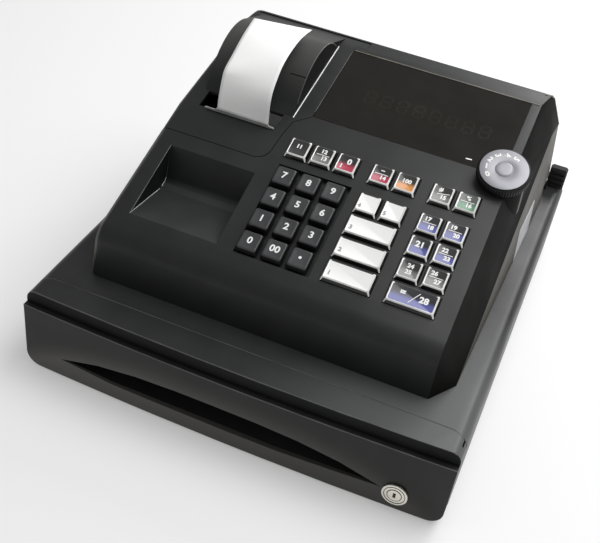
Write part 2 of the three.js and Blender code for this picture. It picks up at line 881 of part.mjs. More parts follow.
// Latch at the back of the cabinet, drawn released; turned down, its nose drops in front of the keeper's lip
function drawerLatch() {
  const pivotY = cabinetDepth - latchPivotInset;
  const noseBottom = boxBottomZ + keeperHeight + keeperThickness + keeperLip + latchNoseClearance;
  const noseFront = pivotY - latchNoseReach;
  const noseBack = noseFront + latchNoseDepth;
  const armTop = latchPivotHeight + latchArmThickness / 2;
  const armBottom = latchPivotHeight - latchArmThickness / 2;
  const half = latchWidth / 2;
  const outline = [
    [noseFront, noseBottom],
    [noseBack, noseBottom],
    [noseBack, armBottom],
    [pivotY, armBottom],
    [pivotY, armTop],
    [noseFront, armTop],
  ];
  const pinReach = half + gap + earThickness;
  return joined(
    alongX(outline, -half, half),
    alongX(circle(pivotY, latchPivotHeight, latchBarrelRadius, pinSides), -half, half),
    alongX(circle(pivotY, latchPivotHeight, latchPinRadius, pinSides), -pinReach, pinReach),
  );
}

function latchSolenoid() {
  const back = cabinetDepth - cabinetWall - gap;
  const half = solenoidWidth / 2;
  const front = back - solenoidDepth;
  const body = block(-half, half, front, back, solenoidBottom, solenoidBottom + solenoidHeight);
  const plunger = circle(0, front + solenoidDepth / 2, plungerRadius, pinSides);
  return joined(body, alongZ(plunger, solenoidBottom - plungerLength, solenoidBottom + plungerLength));
}

function drawerSpring() {
  const outline = circle(springPlace, springHeight, springRadius, pinSides);
  return alongY(outline, boxBack + gap, cabinetDepth - cabinetWall - gap);
}

// Register housing: its outer body, or the space inside when it is inset

const housingCorners = [
  [housingFront, cabinetTopZ],
  [rearFootY, cabinetTopZ],
  [shoulderY, shoulderZ],
  [shelfY, shelfZ],
  [ridgeY, ridgeZ],
  [bendY, bendZ],
  [cornerY, cornerZ],
];

function rearCornerX(z) {
  const height = (z - cabinetTopZ) / (shelfZ - cabinetTopZ);
  const below = rearCornerShares.findIndex(([share]) => share <= height);
  const [lowShare, lowWay] = rearCornerShares[Math.max(below, 1)];
  const [highShare, highWay] = rearCornerShares[Math.max(below, 1) - 1];
  const way = lowWay + ((highWay - lowWay) * (height - lowShare)) / (highShare - lowShare);
  return bevelX + (rearFootX - bevelX) * THREE.MathUtils.clamp(way, 0, 1);
}

function housingBody(inset, below) {
  const points = [];
  const outlineAt = (depth) => {
    const corners = insetOutline(housingCorners, [-below, ...Array(6).fill(depth)]);
    const radii = [0, 0, 0, shelfRounding, 0, 0, frontRounding];
    return roundOutline(
      corners,
      radii.map((radius) => (radius > 0 ? Math.max(radius - depth, gap) : 0)),
    );
  };
  for (let step = 0; step <= leftRoundingSteps; step += 1) {
    const turn = (step / leftRoundingSteps) * (Math.PI / 2);
    const depth = inset + leftRounding * (1 - Math.cos(turn));
    for (const [y, z] of outlineAt(depth)) {
      const wallX = -housingLeft + leftDraftShare * (z - cabinetTopZ) + inset;
      points.push(new THREE.Vector3(wallX + leftRounding * (1 - Math.sin(turn)), y, z));
    }
  }
  for (const [y, z] of outlineAt(inset)) {
    const rear = y > ridgeY + inset;
    points.push(new THREE.Vector3((rear ? rearCornerX(z + inset) : bevelX) - inset, y, z));
  }
  const outer = outerX - inset;
  const chamferY = housingFront + chamferDepth + inset;
  points.push(new THREE.Vector3(outer, chamferY, cabinetTopZ - below));
  points.push(new THREE.Vector3(outer, chamferY, cabinetTopZ));
  points.push(new THREE.Vector3(outer, housingFront + outerEdgeReach, cabinetTopZ + outerEdgeHeight - inset));
  return toSolid(new ConvexGeometry(points));
}

// The space that the printer cover takes, drawn along the key slope's normal so that it lifts out freely
function coverRegion(grow, swing) {
  const side = housingLeft + overrun;
  const farS = coverRearS + coverReach;
  const corners = [
    [-side, coverSeamFront],
    [coverCornerX, coverSeamFront],
    [coverEdgeX, coverEdgeS],
    [coverWaistX, coverWaistS],
    [coverInnerX, coverInnerS],
    [coverInnerX, coverRearS],
    [coverRearX, coverRearS],
    [coverRearX, farS],
    [-side, farS],
  ];
  const radii = [0, coverCornerRadius, 0, 0, 0, 0, 0, 0, 0];
  const plan = roundOutline(insetOutline(corners, -grow), radii);
  const along = alongZ(plan, -coverReach, coverReach, slopeFrame);
  const skirtZ = cabinetTopZ + coverSkirtHeight - grow;
  const farZ = skirtZ + 2 * coverReach;
  const upright = block(-side - overrun, coverRearX + grow, 0, hingeY + grow, skirtZ, farZ);
  const keepX = coverCornerLeft - grow;
  const keepY = hingeY - coverCornerSetback + grow + swing;
  const corner = block(-side - 2 * overrun, keepX, keepY, hingeY + overrun, 0, farZ + overrun);
  return along.intersect(upright).subtract(corner);
}

// The paper dome's side outline; sink is how far its foot goes below the cover's surface
function domeOutline(inset, sink) {
  const radius = domeRadius - inset;
  const front = domeFront + inset;
  const back = domeBack - inset;
  const tangent = (y, z, way) => {
    const reach = Math.hypot(y - domeCentreY, z - domeCentreZ);
    return Math.atan2(z - domeCentreZ, y - domeCentreY) + way * Math.acos(radius / reach);
  };
  const rearTurn = tangent(back, shelfAt(back), 1);
  const frontTurn = tangent(front, displayAt(front), -1);
  return [
    [front, displayAt(front) - sink],
    [ridgeY, ridgeZ - sink],
    [back, shelfAt(back) - sink],
    [back, shelfAt(back)],
    ...arc(domeCentreY, domeCentreZ, radius, rearTurn, frontTurn, 2 * arcSteps),
    [front, displayAt(front)],
  ];
}

const glandRight = halfWidth - glandInset;
const glandBack = cabinetDepth - glandInset;
const glandCorners = rectangle(glandRight - glandWidth, glandRight, glandBack - glandDepth, glandBack);

function printerCover(outer, inner) {
  const skin = outer.intersect(coverRegion(0, 0)).subtract(inner);
  const dome = alongX(domeOutline(0, caseWall / 2), domeLeft, domeRight);
  const hollow = alongX(domeOutline(domeWall, 2 * caseWall), domeLeft + domeWall, domeRight - domeWall);
  const barrel = alongX(circle(hingeY, hingeZ, hingeBarrelRadius, pinSides), coverCornerLeft, coverRearX);
  const pin = circle(hingeY, hingeZ, hingePinRadius, pinSides);
  const pins = alongX(pin, coverCornerLeft - hingePinLength, coverRearX + hingePinLength);
  const slotTop = displayAt(domeFront) + caseWall / 4;
  const slot = block(slotLeft, slotRight, slotFront, domeFront - gap, slotTop - 4 * caseWall, slotTop);
  return cut(joined(skin, dome, barrel, pins), hollow, slot);
}

function keyHole(x, s, width, depth) {
  return block(
    x - width / 2 - gap,
    x + width / 2 + gap,
    s - depth / 2 - gap,
    s + depth / 2 + gap,
    -wellDepth - caseWall - overrun,
    overrun,
    slopeFrame,
  );
}

function penTrayOutline(grow) {
  const corners = [
    [penTrayFront, 0],
    [penTrayValleyFront, -penTrayDepth],
    [penTrayValleyBack, -penTrayDepth],
    [penTrayBack, 0],
    [penTrayBack, 2 * overrun],
    [penTrayFront, 2 * overrun],
  ];
  const radii = [0, penTrayFillet + grow, penTrayFillet + grow, 0, 0, 0];
  return roundOutline(insetOutline(corners, -grow), radii);
}

const wellLeft = numberColumns[0] - wellLeftMargin;
const wellRight = numberColumns[2] + wellRightMargin;
const wellFront = keyRows[0] - wellFrontMargin;
const wellBack = keyRows[3] + wellBackMargin;

function windowFrame() {
  const hole = block(
    windowLeft - ledgeWidth - overrun,
    windowRight,
    windowFront,
    windowBack,
    -windowThickness - gap,
    overrun,
    displayFrame,
  );
  const sides = block(
    windowLeft,
    windowRight + frameWall,
    windowFront - frameWall,
    windowBack + frameWall,
    -windowThickness - gap - ledgeThickness,
    -caseWall / 2,
    displayFrame,
  );
  const ledge = block(
    windowLeft - ledgeWidth,
    windowRight + frameWall,
    windowFront - frameWall,
    windowBack + frameWall,
    -windowThickness - gap - ledgeThickness,
    -windowThickness - gap,
    displayFrame,
  );
  const opening = block(
    windowLeft + ledgeWidth,
    windowRight - ledgeWidth,
    windowFront + ledgeWidth,
    windowBack - ledgeWidth,
    -windowThickness - gap - ledgeThickness - overrun,
    overrun,
    displayFrame,
  );
  return { hole, sides, ledge, opening };
}

function registerCase(outer, inner) {
  const wellFloor = -wellDepth - caseWall;
  const wellPan = block(
    wellLeft - caseWall,
    wellRight + caseWall,
    wellFront - caseWall,
    wellBack + caseWall,
    wellFloor,
    -caseWall / 2,
    slopeFrame,
  );
  const well = block(wellLeft, wellRight, wellFront, wellBack, -wellDepth, overrun, slopeFrame);
  const trayPan = alongX(
    penTrayOutline(penTrayWall),
    penTrayLeft - penTrayWall,
    penTrayRight + penTrayWall,
    slopeFrame,
  ).intersect(outer);
  const trayPocket = alongX(penTrayOutline(0), penTrayLeft, penTrayRight, slopeFrame);
  const posts = [boardPostLeft, boardPostRight].flatMap((x) =>
    [boardPostFront, boardPostBack].map((s) =>
      alongZ(circle(x, s, boardPostRadius, pinSides), -boardDepth + gap, -caseWall / 2, slopeFrame),
    ),
  );
  const { hole, sides, ledge, opening } = windowFrame();
  const dial = (radius, from, to, count) => alongZ(circle(dialX, dialS, radius, count), from, to, slopeFrame);
  const pedestal = dial(pedestalRadius, -pedestalDepth, pedestalTop, roundSides).subtract(inner);
  const bush = dial(bushRadius, -bushDepth, pedestalTop, roundSides);
  const bossOutline = rectangle(
    hingeY - hingeBossDepth,
    hingeY + hingeBarrelRadius + gap + caseWall,
    hingeZ - hingeBossDepth,
    hingeZ + hingeBarrelRadius - caseWall / 4,
  );
  const pinLength = hingePinLength + gap;
  const leftEnd = coverCornerLeft - gap;
  const rightEnd = coverRearX + gap;
  const bosses = [
    alongX(bossOutline, leftEnd - pinLength - caseWall, leftEnd).intersect(outer),
    alongX(bossOutline, rightEnd, rightEnd + pinLength + caseWall),
  ];
  const pinHole = circle(hingeY, hingeZ, hingePinRadius + gap, pinSides);
  const pinHoles = alongX(pinHole, leftEnd - pinLength, rightEnd + pinLength);
  const barrelRoom = block(
    leftEnd,
    rightEnd,
    hingeY - overrun,
    hingeY + hingeBarrelRadius + gap,
    hingeZ - hingeBossDepth - overrun,
    hingeZ + overrun,
  );
  const notch = block(
    outerX - overrun,
    rearFootX + overrun,
    notchFront,
    notchFront + notchDepth,
    cabinetTopZ - overrun,
    cabinetTopZ + notchHeight,
  );
  const glandTop = cabinetTopZ + glandHeight + 2 * gap;
  const glandRoom = alongZ(insetOutline(glandCorners, -gap), cabinetTopZ - overrun, glandTop);
  const holes = [
    ...numberColumns.flatMap((x) => keyRows.map((s) => keyHole(x, s, numberStem, numberStem))),
    ...functionKeys.map(({ x, s, extra }) => keyHole(x, s, functionBaseWidth + extra, functionBaseDepth)),
  ];
  const shell = joined(outer.subtract(inner), wellPan, trayPan, ...posts, sides.intersect(outer));
  const openings = [well, trayPocket, coverRegion(gap, hingeSwing), hole, opening];
  const opened = cut(shell, ...openings, barrelRoom, notch, glandRoom, ...holes);
  const whole = joined(opened, ledge.subtract(opening), pedestal, bush, ...bosses);
  return cut(whole, dial(dialShaftRadius + gap, -pedestalDepth, overrun, pinSides), pinHoles);
}

function displayWindow() {
  const panel = block(
    windowLeft,
    windowRight - gap,
    windowFront + gap,
    windowBack - gap,
    -windowThickness,
    0,
    displayFrame,
  );
  const round = circle(dialX, dialS, pedestalRadius + gap, roundSides);
  return panel.subtract(alongZ(round, -pedestalDepth, 2 * overrun, slopeFrame));
}

function displayBoard() {
  const top = -windowThickness - 2 * gap - ledgeThickness;
  return block(
    windowLeft - ledgeWidth / 2,
    windowRight,
    displayBoardFront,
    windowBack + ledgeWidth / 2,
    top - displayBoardThickness,
    top,
    displayFrame,
  );
}

function keyBoard() {
  return block(boardLeft, boardRight, boardFront, boardBack, -boardDepth - boardThickness, -boardDepth);
}

// Mode dial, in its own frame on the key slope

function modeDial() {
  const bottom = pedestalTop + gap;
  const knurled = Array.from({ length: 2 * dialKnurls }, (_, i) => {
    const radius = i % 2 ? dialRadius : dialRadius - dialKnurlDepth;
    const angle = (i * Math.PI) / dialKnurls;
    return [radius * Math.cos(angle), radius * Math.sin(angle)];
  });
  const faceRadius = dialRadius - 2 * dialKnurlDepth;
  return joined(
    alongZ(knurled, bottom, dialTop - dialFaceStep),
    alongZ(circle(0, 0, faceRadius, roundSides), bottom, dialTop),
    alongZ(circle(0, 0, dialCapRadius, roundSides), bottom, dialTop + dialCapRise),
    alongZ(circle(0, 0, dialShaftRadius, pinSides), -bushDepth - gap - switchHeight / 2, dialTop / 2),
  );
}

function modeSwitch() {
  const top = -bushDepth - gap;
  const half = switchLength / 2;
  const body = block(switchLeft, switchRight, dialS - half, dialS + half, top - switchHeight, top);
  const socket = circle(dialX, dialS, dialShaftRadius + gap, pinSides);
  return body.subtract(alongZ(socket, top - switchHeight / 2 - gap, top + overrun));
}

// Keys, each in its own frame on the key slope

const functionKeys = [
  ...numberColumns.map((x, i) => ({ name: `function_key_${i + 1}`, x, s: functionRow, extra: 0 })),
  ...departmentColumns.map((x, i) => ({ name: `function_key_${i + 4}`, x, s: functionRow, extra: 0 })),
  ...rightColumns.map((x, i) => ({ name: `function_key_${i + 6}`, x, s: functionRow, extra: 0 })),
  ...[3, 2, 1].flatMap((row, r) =>
    rightColumns.map((x, i) => ({ name: `function_key_${8 + 2 * r + i}`, x, s: keyRows[row], extra: 0 })),
  ),
  { name: "total_key", x: rightColumn + keyPitch / 2, s: keyRows[0], extra: keyPitch },
  ...departmentColumns.map((x, i) => ({ name: `department_key_${i + 1}`, x, s: keyRows[3], extra: 0 })),
  ...[2, 1, 0].map((row, i) => ({
    name: `department_key_${i + 3}`,
    x: departmentColumn + keyPitch / 2,
    s: keyRows[row],
    extra: keyPitch,
  })),
];

function keyBody(levels) {
  const rings = levels.map(([height, width, depth]) =>
    chamferedRectangle(width / 2, depth / 2, Math.min(keyChamfer, width / 4)).map(([x, y]) => [x, y, height]),
  );
  return loft(rings);
}

function functionKey(extra) {
  const base = functionBaseWidth + extra;
  const top = functionTopWidth + extra;
  const flangeTop = -caseWall - gap;
  const dish = 3 * keyChamfer;
  return keyBody([
    [-keyFootDepth, keyFootWidth, keyFootWidth],
    [flangeTop - flangeThickness, keyFootWidth, keyFootWidth],
    [flangeTop - flangeThickness, base, flangeDepth],
    [flangeTop, base, flangeDepth],
    [flangeTop, base, functionBaseDepth],
    [functionShoulder, base, functionBaseDepth],
    [keyRise, top, functionTopDepth],
    [keyRise - keyDish, top - dish, functionTopDepth - dish],
  ]);
}

function numberKey() {
  const flangeTop = -wellDepth - caseWall - gap;
  const dish = 3 * keyChamfer;
  return keyBody([
    [-keyFootDepth, keyFootWidth, keyFootWidth],
    [flangeTop - flangeThickness, keyFootWidth, keyFootWidth],
    [flangeTop - flangeThickness, numberFlange, numberFlange],
    [flangeTop, numberFlange, numberFlange],
    [flangeTop, numberStem, numberStem],
    [-numberSkirt, numberStem, numberStem],
    [-numberSkirt, numberBaseWidth, numberBaseDepth],
    [functionShoulder, numberBaseWidth, numberBaseDepth],
    [keyRise, numberTopWidth, numberTopDepth],
    [keyRise - keyDish, numberTopWidth - dish, numberTopDepth - dish],
  ]);
}

// Printer parts inside the housing

const floorZ = cabinetTopZ + gap;
const seatZ = floorZ + floorThickness + gap;

function registerBase() {
  const slab = block(-housingLeft, rearFootX, 0, rearFootY, floorZ, floorZ + floorThickness);
  return slab.intersect(housingBody(caseWall + gap, overrun));
}

function printerFrame() {
  const cheek = [
    [printerFront, seatZ],
    [printerBack, seatZ],
    [printerBack, seatZ + cheekRearHeight],
    [cheekNeckBack, seatZ + cheekRearHeight],
    [cheekHeadBack, seatZ + cheekHeadHeight],
    [printerFront, seatZ + cheekFrontHeight],
  ];
  const straight = THREE.MathUtils.degToRad(-90);
  const swing = THREE.MathUtils.degToRad(cradleAngle);
  const near = rollRadius + cradleClearance;
  const cradle = [
    ...arc(domeCentreY, domeCentreZ, near + cradleWall, straight - swing, straight + swing, cradleSteps),
    ...arc(domeCentreY, domeCentreZ, near, straight + swing, straight - swing, cradleSteps),
  ];
  const inner = printerRight - printerPlate / 2;
  const outer = printerLeft + printerPlate / 2;
  const headZ = seatZ + headBottom;
  const frame = joined(
    block(printerLeft, printerRight, printerFront, printerBack, seatZ, seatZ + printerPlate),
    alongX(cheek, printerLeft, printerLeft + printerPlate),
    alongX(cheek, printerRight - printerPlate, printerRight),
    alongX(cradle, outer, inner),
    block(outer, inner, headFront, headFront + headDepth, headZ, headZ + headHeight),
  );
  const bore = circle(rollerY, rollerZ, rollerShaftRadius + gap, pinSides);
  return cut(frame, alongX(bore, printerLeft - overrun, printerRight + overrun));
}

function feedRoller() {
  const left = printerLeft + printerPlate + rollerMargin;
  const right = printerRight - printerPlate - rollerMargin;
  return joined(
    alongX(circle(rollerY, rollerZ, rollerRadius, roundSides), left, right),
    alongX(circle(rollerY, rollerZ, rollerShaftRadius, pinSides), printerLeft, printerRight),
  );
}

function paperRoll() {
  const middle = (stripLeft + stripRight) / 2;
  const left = middle - rollWidth / 2;
  const right = middle + rollWidth / 2;
  const coreOutline = circle(domeCentreY, domeCentreZ, rollCoreRadius, pinSides);
  const core = alongX(coreOutline, left - overrun, right + overrun);
  return alongX(circle(domeCentreY, domeCentreZ, rollRadius, 2 * roundSides), left, right).subtract(core);
}

function tearBar() {
  const bottom = displayAt(slotFront) + gap;
  const back = slotFront - gap;
  return block(tearBarLeft, tearBarRight, back - tearBarThickness, back, bottom, bottom + tearBarHeight);
}

function paperStrip() {
  const edge = (x, shares) => {
    const points = [[shares[0][0], 0], ...shares];
    return new THREE.CatmullRomCurve3(
      points.map(([y, z]) => new THREE.Vector3(x, slotFront + y * stripReach, stripFoot + z * stripRise)),
    ).getPoints(stripRows);
  };
  const right = edge(stripRight, stripRightShares);
  const rows = edge(stripLeft, stripLeftShares).map((point, i) =>
    Array.from({ length: stripColumns + 1 }, (_, j) => point.clone().lerp(right[i], j / stripColumns)),
  );
  const front = rows.flat();
  const back = rows.flatMap((row, i) =>
    row.map((point, j) => {
      const before = rows[Math.max(i - 1, 0)][j];
      const after = rows[Math.min(i + 1, stripRows)][j];
      const turn = Math.atan2(after.z - before.z, after.y - before.y);
      const across = new THREE.Vector3(0, Math.sin(turn), -Math.cos(turn));
      return point.clone().addScaledVector(across, stripThickness);
    }),
  );
  const count = front.length;
  const width = stripColumns + 1;
  const index = [];
  for (let i = 0; i < stripRows; i += 1) {
    for (let j = 0; j < stripColumns; j += 1) {
      const a = i * width + j;
      const b = a + width + 1;
      index.push(a, a + 1, b, a, b, a + width);
      index.push(count + a, count + b, count + a + 1, count + a, count + a + width, count + b);
    }
  }
  const rowSteps = Array.from({ length: stripRows }, (_, i) => i);
  const columnSteps = Array.from({ length: stripColumns }, (_, j) => j);
  const rim = [
    ...columnSteps,
    ...rowSteps.map((i) => i * width + stripColumns),
    ...columnSteps.map((j) => count - 1 - j),
    ...rowSteps.map((i) => (stripRows - i) * width),
  ];
  rim.forEach((a, i) => {
    const b = rim[(i + 1) % rim.length];
    index.push(a, count + a, count + b, a, count + b, b);
  });
  const geometry = new THREE.BufferGeometry().setFromPoints([...front, ...back]);
  geometry.setIndex(index);
  return toSolid(geometry);
}

function transformer() {
  const left = transformerX - transformerWidth / 2;
  const right = transformerX + transformerWidth / 2;
  const back = transformerFront + transformerDepth;
  const top = seatZ + transformerHeight;
  const core = block(left, right, transformerFront + coilBulge, back - coilBulge, seatZ, top);
  const coilBottom = seatZ + (transformerHeight - coilHeight) / 2;
  const coil = block(
    left + 2 * coilBulge,
    right - 2 * coilBulge,
    transformerFront,
    back,
    coilBottom,
    coilBottom + coilHeight,
  );
  return joined(core, coil);
}

// Ribbed gland where the cord leaves the register at the back
function cordGland() {
  const bottom = cabinetTopZ + gap;
  const plan = roundOutline(glandCorners, Array(4).fill(glandDepth / 4));
  const waist = insetOutline(glandCorners, glandRibDepth);
  const ribPitch = glandHeight / glandRibs;
  const ribs = Array.from({ length: glandRibs }, (_, i) =>
    alongZ(plan, bottom + i * ribPitch, bottom + (i + 1) * ribPitch - 2 * glandRibDepth),
  );
  return joined(alongZ(waist, bottom, bottom + glandHeight - glandRibDepth), ...ribs);
}

const housingOuter = housingBody(0, 0);
const housingInner = housingBody(caseWall, overrun);

place("cabinet_base", cabinetBase(), blackPlastic);
place("cabinet_top", cabinetTop(), blackPlastic);
place("front_trim", frontTrim(), blackPlastic);
place("drawer_front", drawerFront(), blackPlastic);
place("drawer_box", drawerBox(), steel);
place("cash_tray", cashTray(), trayGrey);
bays(noteBays).forEach(([left, right], i) => {
  place(`bill_clip_${i + 1}`, noteClip((left + right) / 2), steel);
});
place("lock_barrel", lockBarrel(), nickel);
place("lock_plug", lockPlug(), nickel);
place("drawer_latch", drawerLatch(), steel);
place("latch_solenoid", latchSolenoid(), steel);
place("drawer_spring", drawerSpring(), steel);
place("register_base", registerBase(), darkPlastic);
place("register_case", registerCase(housingOuter, housingInner), blackPlastic);
place("printer_cover", printerCover(housingOuter, housingInner), blackPlastic);
place("tear_bar", tearBar(), clearPlastic);
place("paper_strip", paperStrip(), paperWhite);
place("display_window", displayWindow(), smokedPlastic);
place("display_board", displayBoard(), boardGreen);
place("printer_frame", printerFrame(), darkPlastic);
place("feed_roller", feedRoller(), rubberBlack);
place("paper_roll", paperRoll(), paperWhite);
place("transformer", transformer(), steel);
place("cord_gland", cordGland(), rubberBlack);

place("key_board", keyBoard(), boardGreen, slope);
place("mode_switch", modeSwitch(), darkPlastic, slope);
place("mode_dial", modeDial(), greyFace, slope).position.set(dialX, dialS, 0);
numberColumns.forEach((x, column) => {
  keyRows.forEach((s, row) => {
    const name = `number_key_${1 + column + 3 * row}`;
    place(name, numberKey(), darkPlastic, slope).position.set(x, s, 0);
  });
});
for (const { name, x, s, extra } of functionKeys) {
  const material = name.startsWith("department") ? paperWhite : clearPlastic;
  place(name, functionKey(extra), material, slope).position.set(x, s, 0);
}

const group = new THREE.Group();
stand.position.set(0, (frontBow - cabinetDepth) / 2, footHeight);
group.add(stand);

export default group;
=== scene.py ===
import json
import math

import bmesh
import bpy
from mathutils import Matrix, Vector

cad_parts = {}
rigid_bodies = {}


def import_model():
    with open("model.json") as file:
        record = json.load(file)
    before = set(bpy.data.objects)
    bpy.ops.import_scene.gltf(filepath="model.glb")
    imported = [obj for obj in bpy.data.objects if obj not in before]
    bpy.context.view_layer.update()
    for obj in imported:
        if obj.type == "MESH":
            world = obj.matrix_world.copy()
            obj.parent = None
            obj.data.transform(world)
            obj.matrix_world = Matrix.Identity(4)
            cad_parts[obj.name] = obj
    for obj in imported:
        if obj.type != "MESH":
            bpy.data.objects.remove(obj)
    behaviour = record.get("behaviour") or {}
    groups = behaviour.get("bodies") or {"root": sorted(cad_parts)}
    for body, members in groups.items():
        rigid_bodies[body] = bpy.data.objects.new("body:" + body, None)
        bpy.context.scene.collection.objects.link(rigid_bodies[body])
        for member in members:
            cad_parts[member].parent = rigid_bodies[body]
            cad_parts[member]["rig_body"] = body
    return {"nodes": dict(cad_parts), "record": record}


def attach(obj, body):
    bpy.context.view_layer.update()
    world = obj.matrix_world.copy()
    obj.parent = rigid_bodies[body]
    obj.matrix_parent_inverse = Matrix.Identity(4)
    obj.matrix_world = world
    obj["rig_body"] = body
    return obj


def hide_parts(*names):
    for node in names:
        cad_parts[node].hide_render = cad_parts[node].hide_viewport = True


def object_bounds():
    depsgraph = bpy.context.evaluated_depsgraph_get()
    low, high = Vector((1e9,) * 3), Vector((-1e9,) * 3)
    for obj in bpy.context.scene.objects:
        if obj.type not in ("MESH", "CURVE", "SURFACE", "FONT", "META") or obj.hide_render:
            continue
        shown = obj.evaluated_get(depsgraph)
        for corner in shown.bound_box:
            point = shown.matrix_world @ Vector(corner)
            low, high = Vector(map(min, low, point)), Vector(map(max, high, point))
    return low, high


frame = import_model()
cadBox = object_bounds()
scene = bpy.context.scene
print("frame loaded:", len(frame["nodes"]), "nodes")

mm = 0.001
# where the two tilted faces start, in metres, and their tilt in degrees
keyboardFace = {"y": -0.1165, "z": 0.114006, "tilt": 21.5}
displayFace = {"y": -0.0115, "z": 0.155366, "tilt": 12.5}


def tiltedFrame(face):
    tilt = math.radians(face["tilt"])
    return Matrix.Translation((0, face["y"], face["z"])) @ Matrix.Rotation(tilt, 4, "X")


slopeFrame, displayFrame = tiltedFrame(keyboardFace), tiltedFrame(displayFace)


# Materials

def newMaterial(name):
    material = bpy.data.materials.new(name)
    material.use_nodes = True
    tree = material.node_tree
    return material, tree, tree.nodes["Principled BSDF"]


def objectNoise(tree, scale, detail, stretch):
    place = tree.nodes.new("ShaderNodeTexCoord")
    mapping = tree.nodes.new("ShaderNodeMapping")
    mapping.inputs["Scale"].default_value = stretch
    noise = tree.nodes.new("ShaderNodeTexNoise")
    noise.inputs["Scale"].default_value = scale
    noise.inputs["Detail"].default_value = detail
    tree.links.new(place.outputs["Object"], mapping.inputs["Vector"])
    tree.links.new(mapping.outputs["Vector"], noise.inputs["Vector"])
    return noise.outputs["Fac"]


def blendColors(tree, factor, first, second):  # each colour is three numbers or a socket
    mix = tree.nodes.new("ShaderNodeMix")
    mix.data_type = "RGBA"
    for side, color in (("A", first), ("B", second)):
        if isinstance(color, (list, tuple)):
            mix.inputs[side].default_value = (*color, 1)
        else:
            tree.links.new(color, mix.inputs[side])
    tree.links.new(factor, mix.inputs["Factor"])
    return mix.outputs["Result"]


def spread(tree, value, low, high, fromLow=0.3, fromHigh=0.7):  # by default over a noise's usual range
    remap = tree.nodes.new("ShaderNodeMapRange")
    remap.inputs["From Min"].default_value = fromLow
    remap.inputs["From Max"].default_value = fromHigh
    remap.inputs["To Min"].default_value = low
    remap.inputs["To Max"].default_value = high
    tree.links.new(value, remap.inputs["Value"])
    return remap.outputs["Result"]


surfaceNoise = {"cloudScale": 55, "cloudDetail": 4, "patchScale": 23, "patchDetail": 5, "grainDetail": 2}


def addGrain(tree, shader, scale, height, stretch=(1, 1, 1)):
    bump = tree.nodes.new("ShaderNodeBump")
    bump.inputs["Strength"].default_value = 1
    bump.inputs["Distance"].default_value = height
    tree.links.new(objectNoise(tree, scale, surfaceNoise["grainDetail"], stretch), bump.inputs["Height"])
    tree.links.new(bump.outputs["Normal"], shader.inputs["Normal"])


def finish(name, color, roughness, specular=0.5, metallic=0.0, mottle=0.12, grain=None, wear=0.06,
           stretch=(1, 1, 1)):
    material, tree, shader = newMaterial(name)
    shader.inputs["Metallic"].default_value = metallic
    shader.inputs["Specular IOR Level"].default_value = specular
    low = [channel * (1 - mottle) for channel in color]
    high = [channel * (1 + mottle) for channel in color]
    cloud = objectNoise(tree, surfaceNoise["cloudScale"], surfaceNoise["cloudDetail"], stretch)
    tree.links.new(blendColors(tree, spread(tree, cloud, 0, 1), low, high), shader.inputs["Base Color"])
    patches = objectNoise(tree, surfaceNoise["patchScale"], surfaceNoise["patchDetail"], stretch)
    tree.links.new(spread(tree, patches, roughness - wear, roughness + wear), shader.inputs["Roughness"])
    if grain:
        addGrain(tree, shader, *grain, stretch)
    return material


def compute(tree, operation, first, second=0.0):
    node = tree.nodes.new("ShaderNodeMath")
    node.operation = operation
    for socket, value in zip(node.inputs, (first, second)):
        if isinstance(value, (int, float)):
            socket.default_value = value
        else:
            tree.links.new(value, socket)
    return node.outputs[0]


def objectAxes(tree):
    place = tree.nodes.new("ShaderNodeTexCoord")
    parts = tree.nodes.new("ShaderNodeSeparateXYZ")
    tree.links.new(place.outputs["Object"], parts.inputs["Vector"])
    return parts.outputs


def tinted(material, factor, color):
    tree = material.node_tree
    base = tree.nodes["Principled BSDF"].inputs["Base Color"]
    tree.links.new(blendColors(tree, factor, base.links[0].from_socket, color), base)
    return material


# painted highlight: a pale band painted into the drawer's colour above its finger pull, strongest along the
# lip and at the left
drawerPaintedHighlight = {
    "color": (0.085, 0.083, 0.075), "shift": 0.0076, "halfPull": 0.125, "curve": 2.4, "bow": 0.0036,
    "rise": 0.0164, "lipLow": 0.0188, "fade": 0.02, "leftEnd": -0.163, "rightEnd": 0.163, "rightShare": 0.5,
}


def drawerFinish():
    material = finish("drawerBlack", (0.0145, 0.0147, 0.0142), 0.40, 0.25, grain=(1700, 0.00003))
    tree, glow = material.node_tree, drawerPaintedHighlight
    axes = objectAxes(tree)
    along = compute(tree, "DIVIDE", compute(tree, "ADD", axes["X"], glow["shift"]), glow["halfPull"])
    square = compute(tree, "MULTIPLY", along, along)
    fall = compute(tree, "POWER", compute(tree, "ABSOLUTE", along), glow["curve"])
    rise = compute(tree, "ADD", compute(tree, "MULTIPLY", square, glow["bow"]), glow["rise"])
    lip = compute(tree, "MULTIPLY", rise, compute(tree, "SUBTRACT", 1, fall))
    above = compute(tree, "SUBTRACT", axes["Z"], compute(tree, "ADD", lip, glow["lipLow"]))
    near = spread(tree, above, 1, 0, 0, glow["fade"])
    left = spread(tree, axes["X"], 1, glow["rightShare"], glow["leftEnd"], glow["rightEnd"])
    strength = compute(tree, "MULTIPLY", compute(tree, "MULTIPLY", near, near), left)
    return tinted(material, strength, glow["color"])


# painted sheen on the cabinet's top: highlights painted into its colour on the ledge in front of the
# housing, and on the strip beside it on the right
cabinetPaintedSheen = {
    "color": (0.090, 0.094, 0.0925), "ledgeDim": 0.08, "ledgeBright": 0.28, "ledgeFade": (-0.153, -0.134),
    "seamFade": (-0.122, -0.112), "leftFade": (-0.163, -0.11), "rightFade": (-0.03, 0.125), "curve": 1.6,
    "rearShare": 0.1, "rearFade": (-0.115, -0.02), "topFade": (0.062, 0.068),
}


